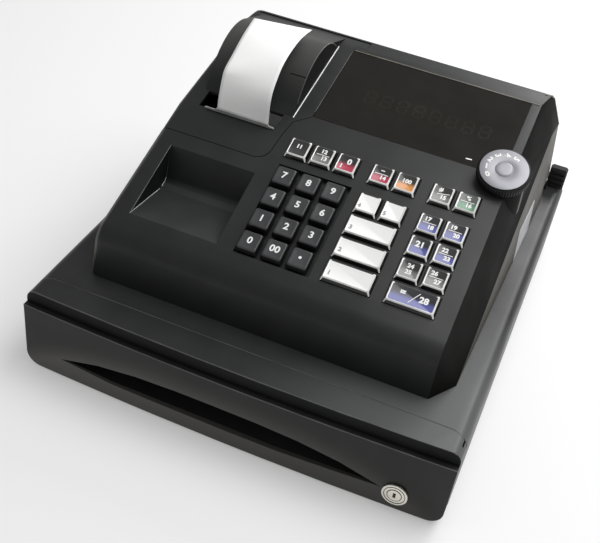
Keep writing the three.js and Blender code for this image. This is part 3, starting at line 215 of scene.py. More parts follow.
def cabinetFinish():
    material = finish("cabinetBlack", (0.0145, 0.0148, 0.0148), 0.38, 0.3, grain=(2200, 0.000018))
    tree, sheen = material.node_tree, cabinetPaintedSheen
    axes = objectAxes(tree)
    ledge = spread(tree, axes["Y"], sheen["ledgeDim"], sheen["ledgeBright"], *sheen["ledgeFade"])
    ledge = compute(tree, "MULTIPLY", ledge, spread(tree, axes["Y"], 1, 0, *sheen["seamFade"]))
    ledge = compute(tree, "MULTIPLY", ledge, spread(tree, axes["X"], 0, 1, *sheen["leftFade"]))
    side = compute(tree, "POWER", spread(tree, axes["X"], 0, 1, *sheen["rightFade"]), sheen["curve"])
    rear = spread(tree, axes["Y"], 1, sheen["rearShare"], *sheen["rearFade"])
    side = compute(tree, "MULTIPLY", side, rear)
    top = spread(tree, axes["Z"], 0, 1, *sheen["topFade"])
    strength = compute(tree, "MULTIPLY", compute(tree, "MAXIMUM", ledge, side), top)
    return tinted(material, strength, sheen["color"])


# the housing's plastic, with a painted sheen that lightens its colour toward the right, and the dome's
# toward its top
housingPlastic = {
    "color": (0.0150, 0.0156, 0.0158), "roughness": 0.42, "specular": 0.3, "grain": (2600, 0.000016),
}
housingPaintedSheen = {
    "color": (0.040, 0.041, 0.040), "rightFade": (0.02, 0.14), "curve": 1.6, "topFade": (0.1, 0.115),
}
domePaintedSheen = {"color": (0.052, 0.052, 0.050), "topFade": (0.168, 0.196)}


def housingBase(name):
    plastic = housingPlastic
    return finish(name, plastic["color"], plastic["roughness"], plastic["specular"], grain=plastic["grain"])


def housingFinish():
    material = housingBase("housingBlack")
    tree, sheen = material.node_tree, housingPaintedSheen
    axes = objectAxes(tree)
    side = compute(tree, "POWER", spread(tree, axes["X"], 0, 1, *sheen["rightFade"]), sheen["curve"])
    top = spread(tree, axes["Z"], 0, 1, *sheen["topFade"])
    return tinted(material, compute(tree, "MULTIPLY", side, top), sheen["color"])


def domeFinish():
    material = housingBase("domeBlack")
    tree, sheen = material.node_tree, domePaintedSheen
    return tinted(material, spread(tree, objectAxes(tree)["Z"], 0, 1, *sheen["topFade"]), sheen["color"])


# printed inserts under the clear caps: dark at the top and coloured below
insertPrint = {"roughness": 0.16, "specular": 0.5, "fade": (0.3, 0.56), "grain": (900, 0.00002)}


def insertFinish(name, dark, bright):
    material, tree, shader = newMaterial(name)
    shader.inputs["Roughness"].default_value = insertPrint["roughness"]
    shader.inputs["Specular IOR Level"].default_value = insertPrint["specular"]
    place = tree.nodes.new("ShaderNodeUVMap")
    parts = tree.nodes.new("ShaderNodeSeparateXYZ")
    tree.links.new(place.outputs["UV"], parts.inputs["Vector"])
    down = spread(tree, parts.outputs["Y"], 1, 0, *insertPrint["fade"])
    tree.links.new(blendColors(tree, down, dark, bright), shader.inputs["Base Color"])
    addGrain(tree, shader, *insertPrint["grain"])
    return material


# colour, roughness and specular; grain is the noise's scale and the bump's height in metres
finishes = {
    "housing": housingFinish(),
    "cabinet": cabinetFinish(),
    "drawer": drawerFinish(),
    # darker, duller copies of the black, as painted shade: on the housing's right bevel, front corner and
    # dial stand
    "bevelShade": finish("bevelShadeMatte", (0.0062, 0.0062, 0.0058), 0.6, 0.04, grain=housingPlastic["grain"]),
    # a tan tint on the housing's right wall, as a painted reflection
    "wallTint": finish("wallSatinReflection", (0.056, 0.052, 0.042), 0.5, 0.3, grain=housingPlastic["grain"]),
    # a darker black as painted shade in the pockets, on the dome's end wall and in the drawer's finger pull
    "pocketShade": finish("pocketShadeMatte", (0.0085, 0.0088, 0.0092), 0.6, 0.08, grain=(2400, 0.00002)),
    # the dome's painted sheen, lighter toward its top
    "domeSheen": domeFinish(),
    # a lighter grey on the pocket's floor, as painted light
    "pocketFloor": finish("pocketFloorLit", (0.026, 0.027, 0.0275), 0.5, 0.3, grain=(2400, 0.00002)),
    # a darker black on the trim's front face, as painted shade
    "trimShade": finish("trimShadeMatte", (0.0105, 0.0108, 0.0108), 0.55, 0.12, grain=(2200, 0.000018)),
    # a light grey for beads along edges, as painted highlights
    "edgeLight": finish("edgePaintedHighlight", (0.085, 0.086, 0.084), 0.35, 0.5, mottle=0.3, grain=(900, 0.00002)),
    # a warm light colour for beads along the ridge and the housing's left edge, as painted highlights
    "warmEdgeHighlight": finish("warmEdgeHighlight", (0.21, 0.195, 0.16), 0.4, 0.4, mottle=0.25, grain=(900, 0.00002)),
    "inner": finish("innerBlack", (0.008, 0.008, 0.009), 0.55, 0.4, grain=(900, 0.00005)),
    "tray": finish("trayPlastic", (0.03, 0.031, 0.033), 0.5, 0.4, grain=(1500, 0.00006)),
    "numberKey": finish("keyCharcoal", (0.036, 0.037, 0.039), 0.36, 0.45, grain=(1600, 0.00003)),
    # numberSide darkens the number keys' lowest levels as painted shade
    "numberSide": finish("keyCharcoalShade", (0.0055, 0.0056, 0.006), 0.5, 0.15),
    # keySide darkens the clear caps' sides as painted shade; capBright and capDim are a lit and a shaded
    # copy of the rim colour on the keys, as painted highlight and painted shade
    "keySide": finish("keySideBlack", (0.006, 0.006, 0.006), 0.2, 0.45),
    "capBright": finish("capEdgeHighlight", (0.80, 0.80, 0.78), 0.2, 0.6, metallic=0.1, mottle=0.2),
    "capDim": finish("capEdgeDim", (0.09, 0.09, 0.09), 0.2, 0.5, mottle=0.3),
    "whiteInsert": finish("insertWhite", (0.86, 0.86, 0.85), 0.2, 0.5, mottle=0.02),
    "blueInsert": insertFinish("insertBlue", (0.035, 0.035, 0.04), (0.10, 0.11, 0.33)),
    "greyInsert": insertFinish("insertGrey", (0.03, 0.03, 0.03), (0.19, 0.19, 0.185)),
    "redInsert": insertFinish("insertRed", (0.032, 0.03, 0.03), (0.42, 0.045, 0.085)),
    "orangeInsert": insertFinish("insertOrange", (0.035, 0.035, 0.03), (0.62, 0.27, 0.085)),
    "greenInsert": insertFinish("insertGreen", (0.1, 0.11, 0.1), (0.13, 0.27, 0.17)),
    "plainInsert": insertFinish("insertPlain", (0.03, 0.03, 0.03), (0.045, 0.045, 0.045)),
    "legend": finish("legendWhite", (0.82, 0.82, 0.81), 0.5, 0.3, mottle=0.05),
    "faintLegend": finish("legendGrey", (0.3, 0.3, 0.31), 0.5, 0.3, mottle=0.05),
    "window": finish("windowSmoked", (0.0085, 0.0068, 0.0048), 0.17, 0.32, mottle=0.2, wear=0.03),
    "segments": finish("windowSegments", (0.0145, 0.0104, 0.0078), 0.2, 0.32, mottle=0.1),
    "dialFace": finish("dialGrey", (0.30, 0.30, 0.325), 0.34, 0.5, metallic=0.15, mottle=0.06,
                       grain=(2400, 0.00002)),
    "dialRim": finish("dialRimBlack", (0.008, 0.008, 0.009), 0.45, 0.2),
    "label": finish("labelPlate", (0.46, 0.46, 0.48), 0.35, 0.5, mottle=0.05),
    "nickel": finish("nickel", (0.86, 0.83, 0.74), 0.22, 0.5, metallic=0.8, mottle=0.08,
                     grain=(1500, 0.00002)),
    "steel": finish("steelPlate", (0.42, 0.43, 0.44), 0.32, 0.5, metallic=1.0, mottle=0.08,
                    grain=(420, 0.00002), stretch=(1, 8, 1)),
    "paper": finish("paperWhite", (0.94, 0.94, 0.935), 0.6, 0.3, mottle=0.012, grain=(1200, 0.00003)),
    "tearBar": finish("tearBarClear", (0.11, 0.115, 0.11), 0.14, 0.6, mottle=0.2),
    # a bright colour for the tear bar's top edge and the pocket's floor crease, as a painted highlight
    "tearLine": finish("tearEdgeHighlight", (0.45, 0.46, 0.45), 0.2, 0.6, mottle=0.2),
    "rubber": finish("rubberBlack", (0.011, 0.011, 0.011), 0.7, 0.3, grain=(900, 0.0001)),
    "board": finish("boardGreen", (0.015, 0.07, 0.04), 0.45, 0.5, mottle=0.3, grain=(300, 0.00005)),
    "seam": finish("seamDark", (0.0025, 0.0025, 0.0025), 0.7, 0.04),
}
print("materials:", len(finishes))


# Meshes

def slotOf(node):
    return next(part["material_slot"] for part in frame["record"]["subparts"] if part["node"] == node)


def addPiece(name, mesh, body, slot, *materials, replaced=None):
    piece = bpy.data.objects.new(name, mesh)
    scene.collection.objects.link(piece)
    for material in materials:
        mesh.materials.append(finishes[material])
    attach(piece, body)
    if replaced:
        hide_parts(replaced)
    return piece


def meshFrom(name, work, smoothAngle):  # faces that meet at less than the angle, in degrees, shade as one
    mesh = bpy.data.meshes.new(name)
    bmesh.ops.recalc_face_normals(work, faces=work.faces)
    work.to_mesh(mesh)
    work.free()
    mesh.shade_smooth()
    mesh.set_sharp_from_angle(angle=math.radians(smoothAngle))
    return mesh


def roundedRectangle(width, depth, radius, steps=4):
    corners = [(1, 1), (-1, 1), (-1, -1), (1, -1)]
    points = []
    for quarter, (right, back) in enumerate(corners):
        for step in range(steps + 1):
            turn = math.pi / 2 * (quarter + step / steps)
            x = right * (width / 2 - radius) + radius * math.cos(turn)
            y = back * (depth / 2 - radius) + radius * math.sin(turn)
            points.append((x, y))
    return points


def stackRings(work, rings, place, slots=None):
    rows = [[work.verts.new(place @ Vector(point)) for point in ring] for ring in rings]
    for level, (low, high) in enumerate(zip(rows, rows[1:])):
        for i in range(len(low)):
            j = (i + 1) % len(low)
            face = work.faces.new((low[i], low[j], high[j], high[i]))
            if slots:
                face.material_index = slots(level, rings[level][i], rings[level][j])
    return rows


def closeEnds(work, rows, topFinish=0):
    top = work.faces.new(rows[-1])
    top.material_index = topFinish
    work.faces.new(list(reversed(rows[0])))
    return top


# turns between faces in radians, areas in square metres and lengths in metres
edging = {
    "weld": 0.00001, "flatTurn": math.radians(0.6), "sharpTurn": math.radians(32),
    "creaseTurn": math.radians(4), "creaseArea": 0.0012,
    "bevelTurn": math.radians(28), "wideArea": 0.0003, "wideLength": 0.012,
}


def cleanedSolid(node):
    work = bmesh.new()
    work.from_mesh(frame["nodes"][node].data)
    bmesh.ops.remove_doubles(work, verts=work.verts, dist=edging["weld"])
    bmesh.ops.dissolve_limit(work, angle_limit=edging["flatTurn"], verts=work.verts, edges=work.edges)
    work.normal_update()
    return work


def softened(node, name, material, fine, broad, zones):
    mesh = frame["nodes"][node].data.copy()
    mesh.materials.clear()
    work = cleanedSolid(node)
    for face in work.faces:
        face.smooth = True
        face.material_index = 0
        for index, (zone, covers) in enumerate(zones):
            if covers(face.normal, face.calc_center_median()):
                face.material_index = index + 1
    weight = work.edges.layers.float.new("bevel_weight_edge")
    for edge in work.edges:
        if len(edge.link_faces) != 2:
            continue
        turn = edge.calc_face_angle(0)
        area = min(face.calc_area() for face in edge.link_faces)
        crease = turn > edging["creaseTurn"] and area > edging["creaseArea"]
        edge.smooth = turn < edging["sharpTurn"] and not crease
        if turn > edging["bevelTurn"]:
            wide = broad and area > edging["wideArea"] and edge.calc_length() > edging["wideLength"]
            edge[weight] = 1 if wide else fine / (broad or fine)
    work.to_mesh(mesh)
    work.free()
    zoneFinishes = [zone for zone, covers in zones]
    piece = addPiece(name, mesh, frame["nodes"][node]["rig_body"], slotOf(node), material, *zoneFinishes,
                     replaced=node)
    bevel = piece.modifiers.new("edges", "BEVEL")
    bevel.limit_method = "WEIGHT"
    bevel.width = broad or fine
    bevel.segments = 2
    bevel.use_clamp_overlap = True
    bevel.harden_normals = True


# Cabinet, drawer front and housing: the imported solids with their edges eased

# node: piece, finish, and the fine and the broad edge's radius in metres
edgeRadii = {
    "cabinet_base": ("cabinetTub", "cabinet", 0.0004, 0.0012),
    "cabinet_top": ("cabinetCover", "cabinet", 0.0006, 0.0010),
    "front_trim": ("trimStrip", "cabinet", 0.0006, 0.0010),
    "drawer_front": ("drawerPanel", "drawer", 0.0005, 0.0009),
    "register_case": ("housingShell", "housing", 0.0005, 0.0011),
    "printer_cover": ("paperCover", "housing", 0.0005, 0.0009),
    "cord_gland": ("glandSleeve", "rubber", 0.0004, None),
    "lock_barrel": ("lockRing", "nickel", 0.0003, None),
    "lock_plug": ("lockCore", "nickel", 0.0002, None),
    "display_window": ("windowPanel", "window", 0.0003, None),
    "cash_tray": ("moneyTray", "tray", 0.0003, None),
}
# x, y and z ranges, in metres, for the middles of faces with painted shade or light of their own; 1 is past
# the object
anywhere = (-1, 1)
zoneBoxes = {
    "bevel": ((0.12, 1), anywhere, anywhere),
    "frontCorner": ((0.12, 1), anywhere, (-1, 0.12)),
    "dialStand": ((0.1, 0.139), (-0.012, 0.032), anywhere),
    "rightWall": ((0.138, 1), anywhere, anywhere),
    "pocketSides": ((-0.12, -0.04), (-1, -0.04), anywhere),
    "pocketFloor": ((-0.12, -0.04), (-0.125, -0.05), anywhere),
    "rollWall": ((-1, -0.0415), anywhere, (0.16, 1)),
    "dome": ((-0.1165, -0.0415), (0.005, 0.1), (0.162, 1)),
    "fingerPull": ((-0.15, 0.15), (-0.1762, 1), (0.012, 0.04)),
}
# how far a face has to look along an axis, as a share of its normal
facing = {
    "full": 0.9, "wall": 0.985, "rollWall": 0.98, "bevel": 0.94, "bevelRight": 0.975, "cornerRight": 0.7,
    "cornerFront": 0.2, "standTop": 0.45, "domeSide": 0.1,
}
bevelWay = Vector((0.953, -0.107, 0.284))
pocketBase = {"z": 0.108, "climb": 0.394}


def within(box, middle):
    return all(low < value < high for value, (low, high) in zip(middle, zoneBoxes[box]))


def isWall(way, middle):
    return way.x > facing["wall"] and within("rightWall", middle)


def isPocketFloor(way, middle):
    level = pocketBase["z"] + (middle.y - keyboardFace["y"]) * pocketBase["climb"]
    return way.z > facing["full"] and within("pocketFloor", middle) and middle.z < level


# faces on the housing with painted shade, a painted reflection on the right wall and painted light on the
# pocket's floor
housingZones = [
    ("bevelShade", lambda way, middle: way.dot(bevelWay) > facing["bevel"] and way.x < facing["bevelRight"]
     and within("bevel", middle)),
    ("bevelShade", lambda way, middle: way.x > facing["cornerRight"] and way.y < -facing["cornerFront"]
     and within("frontCorner", middle)),
    ("bevelShade", lambda way, middle: way.z < facing["standTop"] and within("dialStand", middle)),
    ("wallTint", isWall),
    ("pocketShade", lambda way, middle: abs(way.x) > facing["full"] and within("pocketSides", middle)),
    ("pocketFloor", isPocketFloor),
]
# painted shade on the dome's end wall and painted sheen on the dome
coverZones = [
    ("pocketShade", lambda way, middle: way.x > facing["rollWall"] and within("rollWall", middle)),
    ("domeSheen", lambda way, middle: abs(way.x) < facing["domeSide"] and within("dome", middle)),
]
# painted shade in the finger pull
drawerZones = [("pocketShade", lambda way, middle: way.y < facing["full"] and within("fingerPull", middle))]
# painted shade on the trim's front face
trimZones = [("trimShade", lambda way, middle: way.y < -facing["full"])]
zonesOf = {
    "register_case": housingZones, "printer_cover": coverZones, "drawer_front": drawerZones,
    "front_trim": trimZones,
}
for node, (name, material, fine, broad) in edgeRadii.items():
    softened(node, name, material, fine, broad, zonesOf.get(node, ()))
print("eased pieces:", len(edgeRadii))

plainNodes = {
    "steel": ["drawer_box", "bill_clip_1", "bill_clip_2", "bill_clip_3", "drawer_latch", "latch_solenoid",
              "drawer_spring", "transformer"],
    "inner": ["register_base", "printer_frame", "mode_switch"],
    "rubber": ["feed_roller"],
    "paper": ["paper_roll"],
    "board": ["display_board", "key_board"],
}
for material, names in plainNodes.items():
    for name in names:
        data = frame["nodes"][name].data
        data.materials.clear()
        data.materials.append(finishes[material])


# Keys

# millimetres on the keyboard's slope, and the angles in degrees up to which faces shade as one
keyShape = {
    "pitch": 19.05, "rowPitch": 20.05, "firstColumn": -24, "departmentColumn": 41, "rightColumn": 87,
    "firstRow": 15.25, "functionRow": 102.7, "top": 3.8, "numberSmooth": 50, "clearSmooth": 24,
    "digitRow": 0.2, "digitLift": 0.02, "printDrop": 0.1, "dividerDepth": 0.55,
}
legendHeight = {"number": 7.6, "large": 6.6, "small": 4.7}
legendWeight = {"number": 0.03, "large": 0.045, "small": 0.05}
keyTop = keyShape["top"]
# height, width, depth and corner radius of each level, from the stem up to the hollow of the top
numberLevels = [
    (-6.5, 11, 11, 1), (-0.8, 11, 11, 1), (-0.8, 16, 17.4, 1.2), (0.4, 16, 17.4, 1.2),
    (1.0, 15.7, 17.1, 1.3), (keyTop - 1.0, 14.5, 15.1, 1.5), (keyTop - 0.35, 14.1, 14.7, 1.6),
    (keyTop - 0.05, 13.4, 14.0, 1.7), (keyTop, 12.7, 13.3, 1.7), (keyTop - 0.12, 10.5, 11, 1.7),
    (keyTop - 0.25, 7, 7.4, 1.5), (keyTop - 0.3, 3, 3.2, 1),
]
numberSideLevels = 5  # the lowest levels, darkened as painted shade
# the same for a clear cap, whose levels above the stem take up a double key's extra width
clearStem = (-6.5, 7, 7, 0.8)
clearLevels = [
    (-2.8, 17.3, 17.8, 0.7), (0.6, 17.3, 17.8, 0.7), (keyTop - 0.75, 15.3, 15.45, 1.1),
    (keyTop, 13.9, 14.0, 1.2), (keyTop - 0.15, 12.9, 13.0, 1.1),
]
clearRim = {"slopeLevel": 2, "width": 17.3, "side": 3, "front": -5.5, "corner": 0.02, "insertFinish": 3}


def glyphs(work, text, size, x, y, z, place, weight):
    curve = bpy.data.curves.new("glyph", "FONT")
    curve.body = text
    curve.size = size * mm
    curve.offset = weight * size * mm
    curve.resolution_u = 3
    curve.align_x = "CENTER"
    curve.align_y = "CENTER"
    holder = bpy.data.objects.new("glyph", curve)
    scene.collection.objects.link(holder)
    bpy.context.view_layer.update()
    flat = bpy.data.meshes.new_from_object(holder.evaluated_get(bpy.context.evaluated_depsgraph_get()))
    flat.transform(place @ Matrix.Translation((x * mm, y * mm, z * mm)))
    work.from_mesh(flat)
    bpy.data.objects.remove(holder)
    bpy.data.curves.remove(curve)
    bpy.data.meshes.remove(flat)


def strip(work, x, y, width, depth, z, place, turn=0):
    spin = place @ Matrix.Translation((x * mm, y * mm, z * mm)) @ Matrix.Rotation(turn, 4, "Z")
    corners = [(-1, -1), (1, -1), (1, 1), (-1, 1)]
    spots = [Vector((a * width / 2 * mm, b * depth / 2 * mm, 0)) for a, b in corners]
    work.faces.new([work.verts.new(spin @ spot) for spot in spots])


def legendPiece(name, body, work, material="legend", slot="legend_white"):
    mesh = bpy.data.meshes.new(name)
    for face in work.faces:
        face.normal_update()
    work.to_mesh(mesh)
    work.free()
    addPiece(name, mesh, body, slot, material)


def keyRings(levels):
    return [
        [(x * mm, y * mm, z * mm) for x, y in roundedRectangle(width, depth, radius)]
        for z, width, depth, radius in levels
    ]


def numberCap(name, body, place):
    work = bmesh.new()
    rows = stackRings(work, keyRings(numberLevels), place,
                      lambda level, first, second: 1 if level < numberSideLevels else 0)
    closeEnds(work, rows)
    mesh = meshFrom(name, work, keyShape["numberSmooth"])
    addPiece(name, mesh, body, "key_black", "numberKey", "numberSide", replaced=body)


def clearCap(name, body, place, extra, insert, slot):
    work = bmesh.new()
    uv = work.loops.layers.uv.new("print")
    width = clearRim["width"] + extra

    def facet(level, first, second):  # 0 for the side, darkened as painted shade, 1 for a rim with a painted highlight, 2 for one in painted shade
        if level < clearRim["slopeLevel"]:
            return 0
        x, y = (first[0] + second[0]) / 2, (first[1] + second[1]) / 2
        if level == clearRim["slopeLevel"]:
            atCorner = all(abs(first[axis] - second[axis]) > clearRim["corner"] * mm for axis in (0, 1))
            return 1 if atCorner and y < 0 else 0
        atSide = abs(x) > (width / 2 - clearRim["side"]) * mm
        return 1 if y < clearRim["front"] * mm or atSide else 2

    wide = [(height, levelWidth + extra, depth, radius) for height, levelWidth, depth, radius in clearLevels]
    rows = stackRings(work, keyRings([clearStem] + wide), place, facet)
    face = closeEnds(work, rows, clearRim["insertFinish"])
    height, printWidth, printDepth, radius = wide[-1]
    back = place.inverted()
    for corner in face.loops:
        spot = back @ corner.vert.co
        corner[uv].uv = (0.5 + spot.x / (printWidth * mm), 0.5 + spot.y / (printDepth * mm))
    mesh = meshFrom(name, work, keyShape["clearSmooth"])
    addPiece(name, mesh, body, slot, "keySide", "capBright", "capDim", insert, replaced=body)


def keyPlace(x, s):
    return slopeFrame @ Matrix.Translation((x * mm, s * mm, 0))


rowPlaces = [keyShape["firstRow"] + row * keyShape["rowPitch"] for row in range(4)]
number, department, right = keyShape["firstColumn"], keyShape["departmentColumn"], keyShape["rightColumn"]
pitch, topRow = keyShape["pitch"], keyShape["functionRow"]
numberLegends = ["0", "00", "•", "1", "2", "3", "4", "5", "6", "7", "8", "9"]
for index, legend in enumerate(numberLegends):
    place = keyPlace(number + index % 3 * pitch, rowPlaces[index // 3])
    body = f"number_key_{index + 1}"
    numberCap(f"digitKey{index + 1}", body, place)
    work = bmesh.new()
    height = keyTop + keyShape["digitLift"]
    glyphs(work, legend, legendHeight["number"], 0, keyShape["digitRow"], height, place,
           legendWeight["number"])
    legendPiece(f"digit{index + 1}", body, work)

# x and place up the slope, extra width, insert
functionKeys = {
    "function_key_1": (number, topRow, 0, "plainInsert"),
    "function_key_2": (number + pitch, topRow, 0, "greyInsert"),
    "function_key_3": (number + 2 * pitch, topRow, 0, "redInsert"),
    "function_key_4": (department, topRow, 0, "redInsert"),
    "function_key_5": (department + pitch, topRow, 0, "orangeInsert"),
    "function_key_6": (right, topRow, 0, "greyInsert"),
    "function_key_7": (right + pitch, topRow, 0, "greenInsert"),
    "function_key_8": (right, rowPlaces[3], 0, "blueInsert"),
    "function_key_9": (right + pitch, rowPlaces[3], 0, "blueInsert"),
    "function_key_10": (right, rowPlaces[2], 0, "blueInsert"),
    "function_key_11": (right + pitch, rowPlaces[2], 0, "blueInsert"),
    "function_key_12": (right, rowPlaces[1], 0, "greyInsert"),
    "function_key_13": (right + pitch, rowPlaces[1], 0, "greyInsert"),
    "total_key": (right + pitch / 2, rowPlaces[0], pitch, "blueInsert"),
    "department_key_1": (department, rowPlaces[3], 0, "whiteInsert"),
    "department_key_2": (department + pitch, rowPlaces[3], 0, "whiteInsert"),
    "department_key_3": (department + pitch / 2, rowPlaces[2], pitch, "whiteInsert"),
    "department_key_4": (department + pitch / 2, rowPlaces[1], pitch, "whiteInsert"),
    "department_key_5": (department + pitch / 2, rowPlaces[0], pitch, "whiteInsert"),
}
# text, x and y from the key's middle, and size
functionLegends = {
    "function_key_1": [("11", 0, 1.2, "small")],
    "function_key_2": [("12", 0, 3.3, "small"), ("13", 1.8, -2.8, "small")],
    "function_key_3": [("0", 1.4, 1.4, "large"), ("1", -3.4, -3.4, "small")],
    "function_key_4": [("–", 0, 3.6, "small"), ("14", 1.8, -2.8, "small")],
    "function_key_5": [("100", 0, 1.0, "small")],
    "function_key_6": [("#", -1.6, 3.4, "small"), ("15", 1.6, -2.8, "small")],
    "function_key_7": [("%", 0, 3.3, "small"), ("16", 1.6, -2.8, "small")],
    "function_key_8": [("17", -2.0, 3.3, "small"), ("18", 1.8, -2.8, "small")],
    "function_key_9": [("19", -2.0, 3.3, "small"), ("20", 1.8, -2.8, "small")],
    "function_key_10": [("21", 0, 1.2, "large")],
    "function_key_11": [("22", -1.4, 3.3, "small"), ("23", 1.8, -2.8, "small")],
    "function_key_12": [("24", 0, 2.6, "small"), ("25", 0, -2.4, "small")],
    "function_key_13": [("26", -2.0, 3.3, "small"), ("27", 1.8, -2.8, "small")],
    "total_key": [("=", -7.4, 1.6, "large"), ("28", 8.0, 0.2, "large")],
    "department_key_1": [("4", -5.2, -3.6, "small")],
    "department_key_2": [("5", -5.2, -3.6, "small")],
    "department_key_3": [("3", -13.6, -3.0, "small")],
    "department_key_4": [("2", -13.6, -3.0, "small")],
    "department_key_5": [("1", -13.6, -3.0, "small")],
}
# the printed line between two legends: x, y, width and turn
functionDividers = {
    "function_key_2": (0, 0.2, 10, 0), "function_key_4": (0, 0.2, 10, 0), "function_key_6": (1, 0.2, 9, 0.2),
    "function_key_7": (0, 0.3, 10, 0), "function_key_8": (0, 0.4, 10, 0), "function_key_9": (0, 0.4, 10, 0),
    "function_key_11": (0, 0.4, 10, 0), "function_key_13": (0, 0.4, 10, 0), "total_key": (1.2, 0, 11, 1.0),
}
for body, (x, s, extra, insert) in functionKeys.items():
    words = body.split("_")
    name = words[0] + "".join(word.title() for word in words[1:])
    place = keyPlace(x, s)
    isWhite = insert == "whiteInsert"
    clearCap(name, body, place, extra, insert, "key_white" if isWhite else "key_clear")
    work = bmesh.new()
    height = keyTop - keyShape["printDrop"]
    for text, textX, textY, size in functionLegends[body]:
        glyphs(work, text, legendHeight[size], textX, textY, height, place, legendWeight[size])
    if body in functionDividers:
        lineX, lineY, width, turn = functionDividers[body]
        strip(work, lineX, lineY, width, keyShape["dividerDepth"], height, place, turn)
    if isWhite:
        legendPiece(name + "Print", body, work, "faintLegend", "legend_grey")
    else:
        legendPiece(name + "Print", body, work)
print("keys:", len(numberLegends) + len(functionKeys))


# Mode dial

# faceEdge and capEdge are steps out from their own radius and up from the top; marks are text and angle
dial = {
    "x": 122, "s": 136, "radius": 19.6, "face": 18.3, "under": 1.3, "top": 9, "cap": 6.4, "capRise": 0.72,
    "stem": 2.4, "stemEnd": -14, "knurls": 60, "knurlDepth": 0.55, "easeIn": 0.4, "easeRise": 0.5,
    "knurlEnd": 1.6, "rimEnd": 1.1, "rimIn": 0.5, "rimLevels": 9, "smooth": 40,
    "faceEdge": [(0, -1.0), (-0.1, -0.3), (-0.6, 0)],
    "capEdge": [(0.9, 0), (0.4, -0.25), (0, -0.1), (-0.4, 0.35), (-1.4, 0.6)],
    "markSize": 6.0, "markWeight": 0.045, "markOut": 0.6, "markLift": 0.03,
    "marks": [("4", 97), ("3", 128), ("2", 158), ("1", 188), ("0", 220), ("5", 66)],
}
dialPlace = keyPlace(dial["x"], dial["s"])
dialSteps = dial["knurls"] * 4
knurled = [dial["radius"] - (dial["knurlDepth"] if i % 4 < 2 else 0) for i in range(dialSteps)]


def dialRing(radii, z):
    turned = [(radius, 2 * math.pi * i / dialSteps) for i, radius in enumerate(radii)]
    return [(radius * math.cos(turn) * mm, radius * math.sin(turn) * mm, z * mm) for radius, turn in turned]


def plainRing(radius, z):
    return dialRing([radius] * dialSteps, z)


def knurledRing(z, inset):
    return dialRing([radius - inset for radius in knurled], z)


under, top, face, cap = dial["under"], dial["top"], dial["face"], dial["cap"]
# from the stem's end up the knurled rim, in over the face and up the cap
dialRings = [
    plainRing(dial["stem"], dial["stemEnd"]), plainRing(dial["stem"], under), plainRing(face, under),
    knurledRing(under, dial["easeIn"]), knurledRing(under + dial["easeRise"], 0),
    knurledRing(top - dial["knurlEnd"], 0), knurledRing(top - dial["rimEnd"], dial["rimIn"]),
]
dialRings += [plainRing(face + out, top + up) for out, up in dial["faceEdge"]]
dialRings += [plainRing(cap + out, top + up) for out, up in dial["capEdge"]]
dialRings.append(plainRing(cap / 2, top + dial["capRise"]))
work = bmesh.new()
rows = stackRings(work, dialRings, dialPlace,
                  lambda level, first, second: 1 if level < dial["rimLevels"] else 0)
closeEnds(work, rows)
addPiece("dialKnob", meshFrom("dialKnob", work, dial["smooth"]), "dial", "dial_grey", "dialFace", "dialRim",
         replaced="mode_dial")

work = bmesh.new()
reach, height = (face + cap) / 2 + dial["markOut"], top + dial["markLift"]
outward = Matrix.Translation((reach * mm, 0, height * mm)) @ Matrix.Rotation(math.pi, 4, "Z")
for text, angle in dial["marks"]:
    spin = dialPlace @ Matrix.Rotation(math.radians(angle), 4, "Z")
    glyphs(work, text, dial["markSize"], 0, 0, 0, spin @ outward, dial["markWeight"])
legendPiece("dialMarks", "dial", work)
print("dial done")


# Fine lines along moulded edges: light ones as painted highlights, dark ones along seams

beadLine = {"sides": 8, "steps": 12, "shortestEdge": 0.0005, "smooth": 80}  # the shortest edge in metres


def bead(work, path, radius):
    sides = beadLine["sides"]
    spots = [(math.cos(2 * math.pi * i / sides), math.sin(2 * math.pi * i / sides), 0) for i in range(sides)]
    rings = []
    for index, spot in enumerate(path):
        ahead = path[min(index + 1, len(path) - 1)] - path[max(index - 1, 0)]
        turn = ahead.to_track_quat("Z", "Y")
        rings.append([spot + turn @ (Vector(place) * radius) for place in spots])
    closeEnds(work, stackRings(work, rings, Matrix()))


def linePiece(name, body, slot, material, paths, radius):
    work = bmesh.new()
    for path in paths:
        bead(work, path, radius * mm)
    addPiece(name, meshFrom(name, work, beadLine["smooth"]), body, slot, material)


def chained(edges):
    links = {}
    for edge in edges:
        for vert in edge.verts:
            links.setdefault(vert, []).append(edge)
    ends = [vert for vert in links if len(links[vert]) != 2]
    left = set(edges)
    lines = []
    for start in ends + list(links):
        for way in links[start]:
            spot, line = start, [start.co.copy()]
            while way in left:
                left.discard(way)
                spot = way.other_vert(spot)
                line.append(spot.co.copy())
                way = next((edge for edge in links[spot] if edge in left), way)
            if len(line) > 1:
                lines.append(line)
    return lines


def edgeLine(name, node, material, radius, drop, chosen):
    solid = cleanedSolid(node)
    picked = []
    for edge in solid.edges:
        if len(edge.link_faces) == 2 and edge.calc_length() > beadLine["shortestEdge"]:
            one, two = (face.normal for face in edge.link_faces)
            middle = (edge.verts[0].co + edge.verts[1].co) / 2
            if chosen(one, two, middle) or chosen(two, one, middle):
                picked.append(edge)
    paths = [[spot + Vector(drop) * mm for spot in line] for line in chained(picked)]
    solid.free()
    linePiece(name, frame["nodes"][node]["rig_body"], slotOf(node), material, paths, radius)


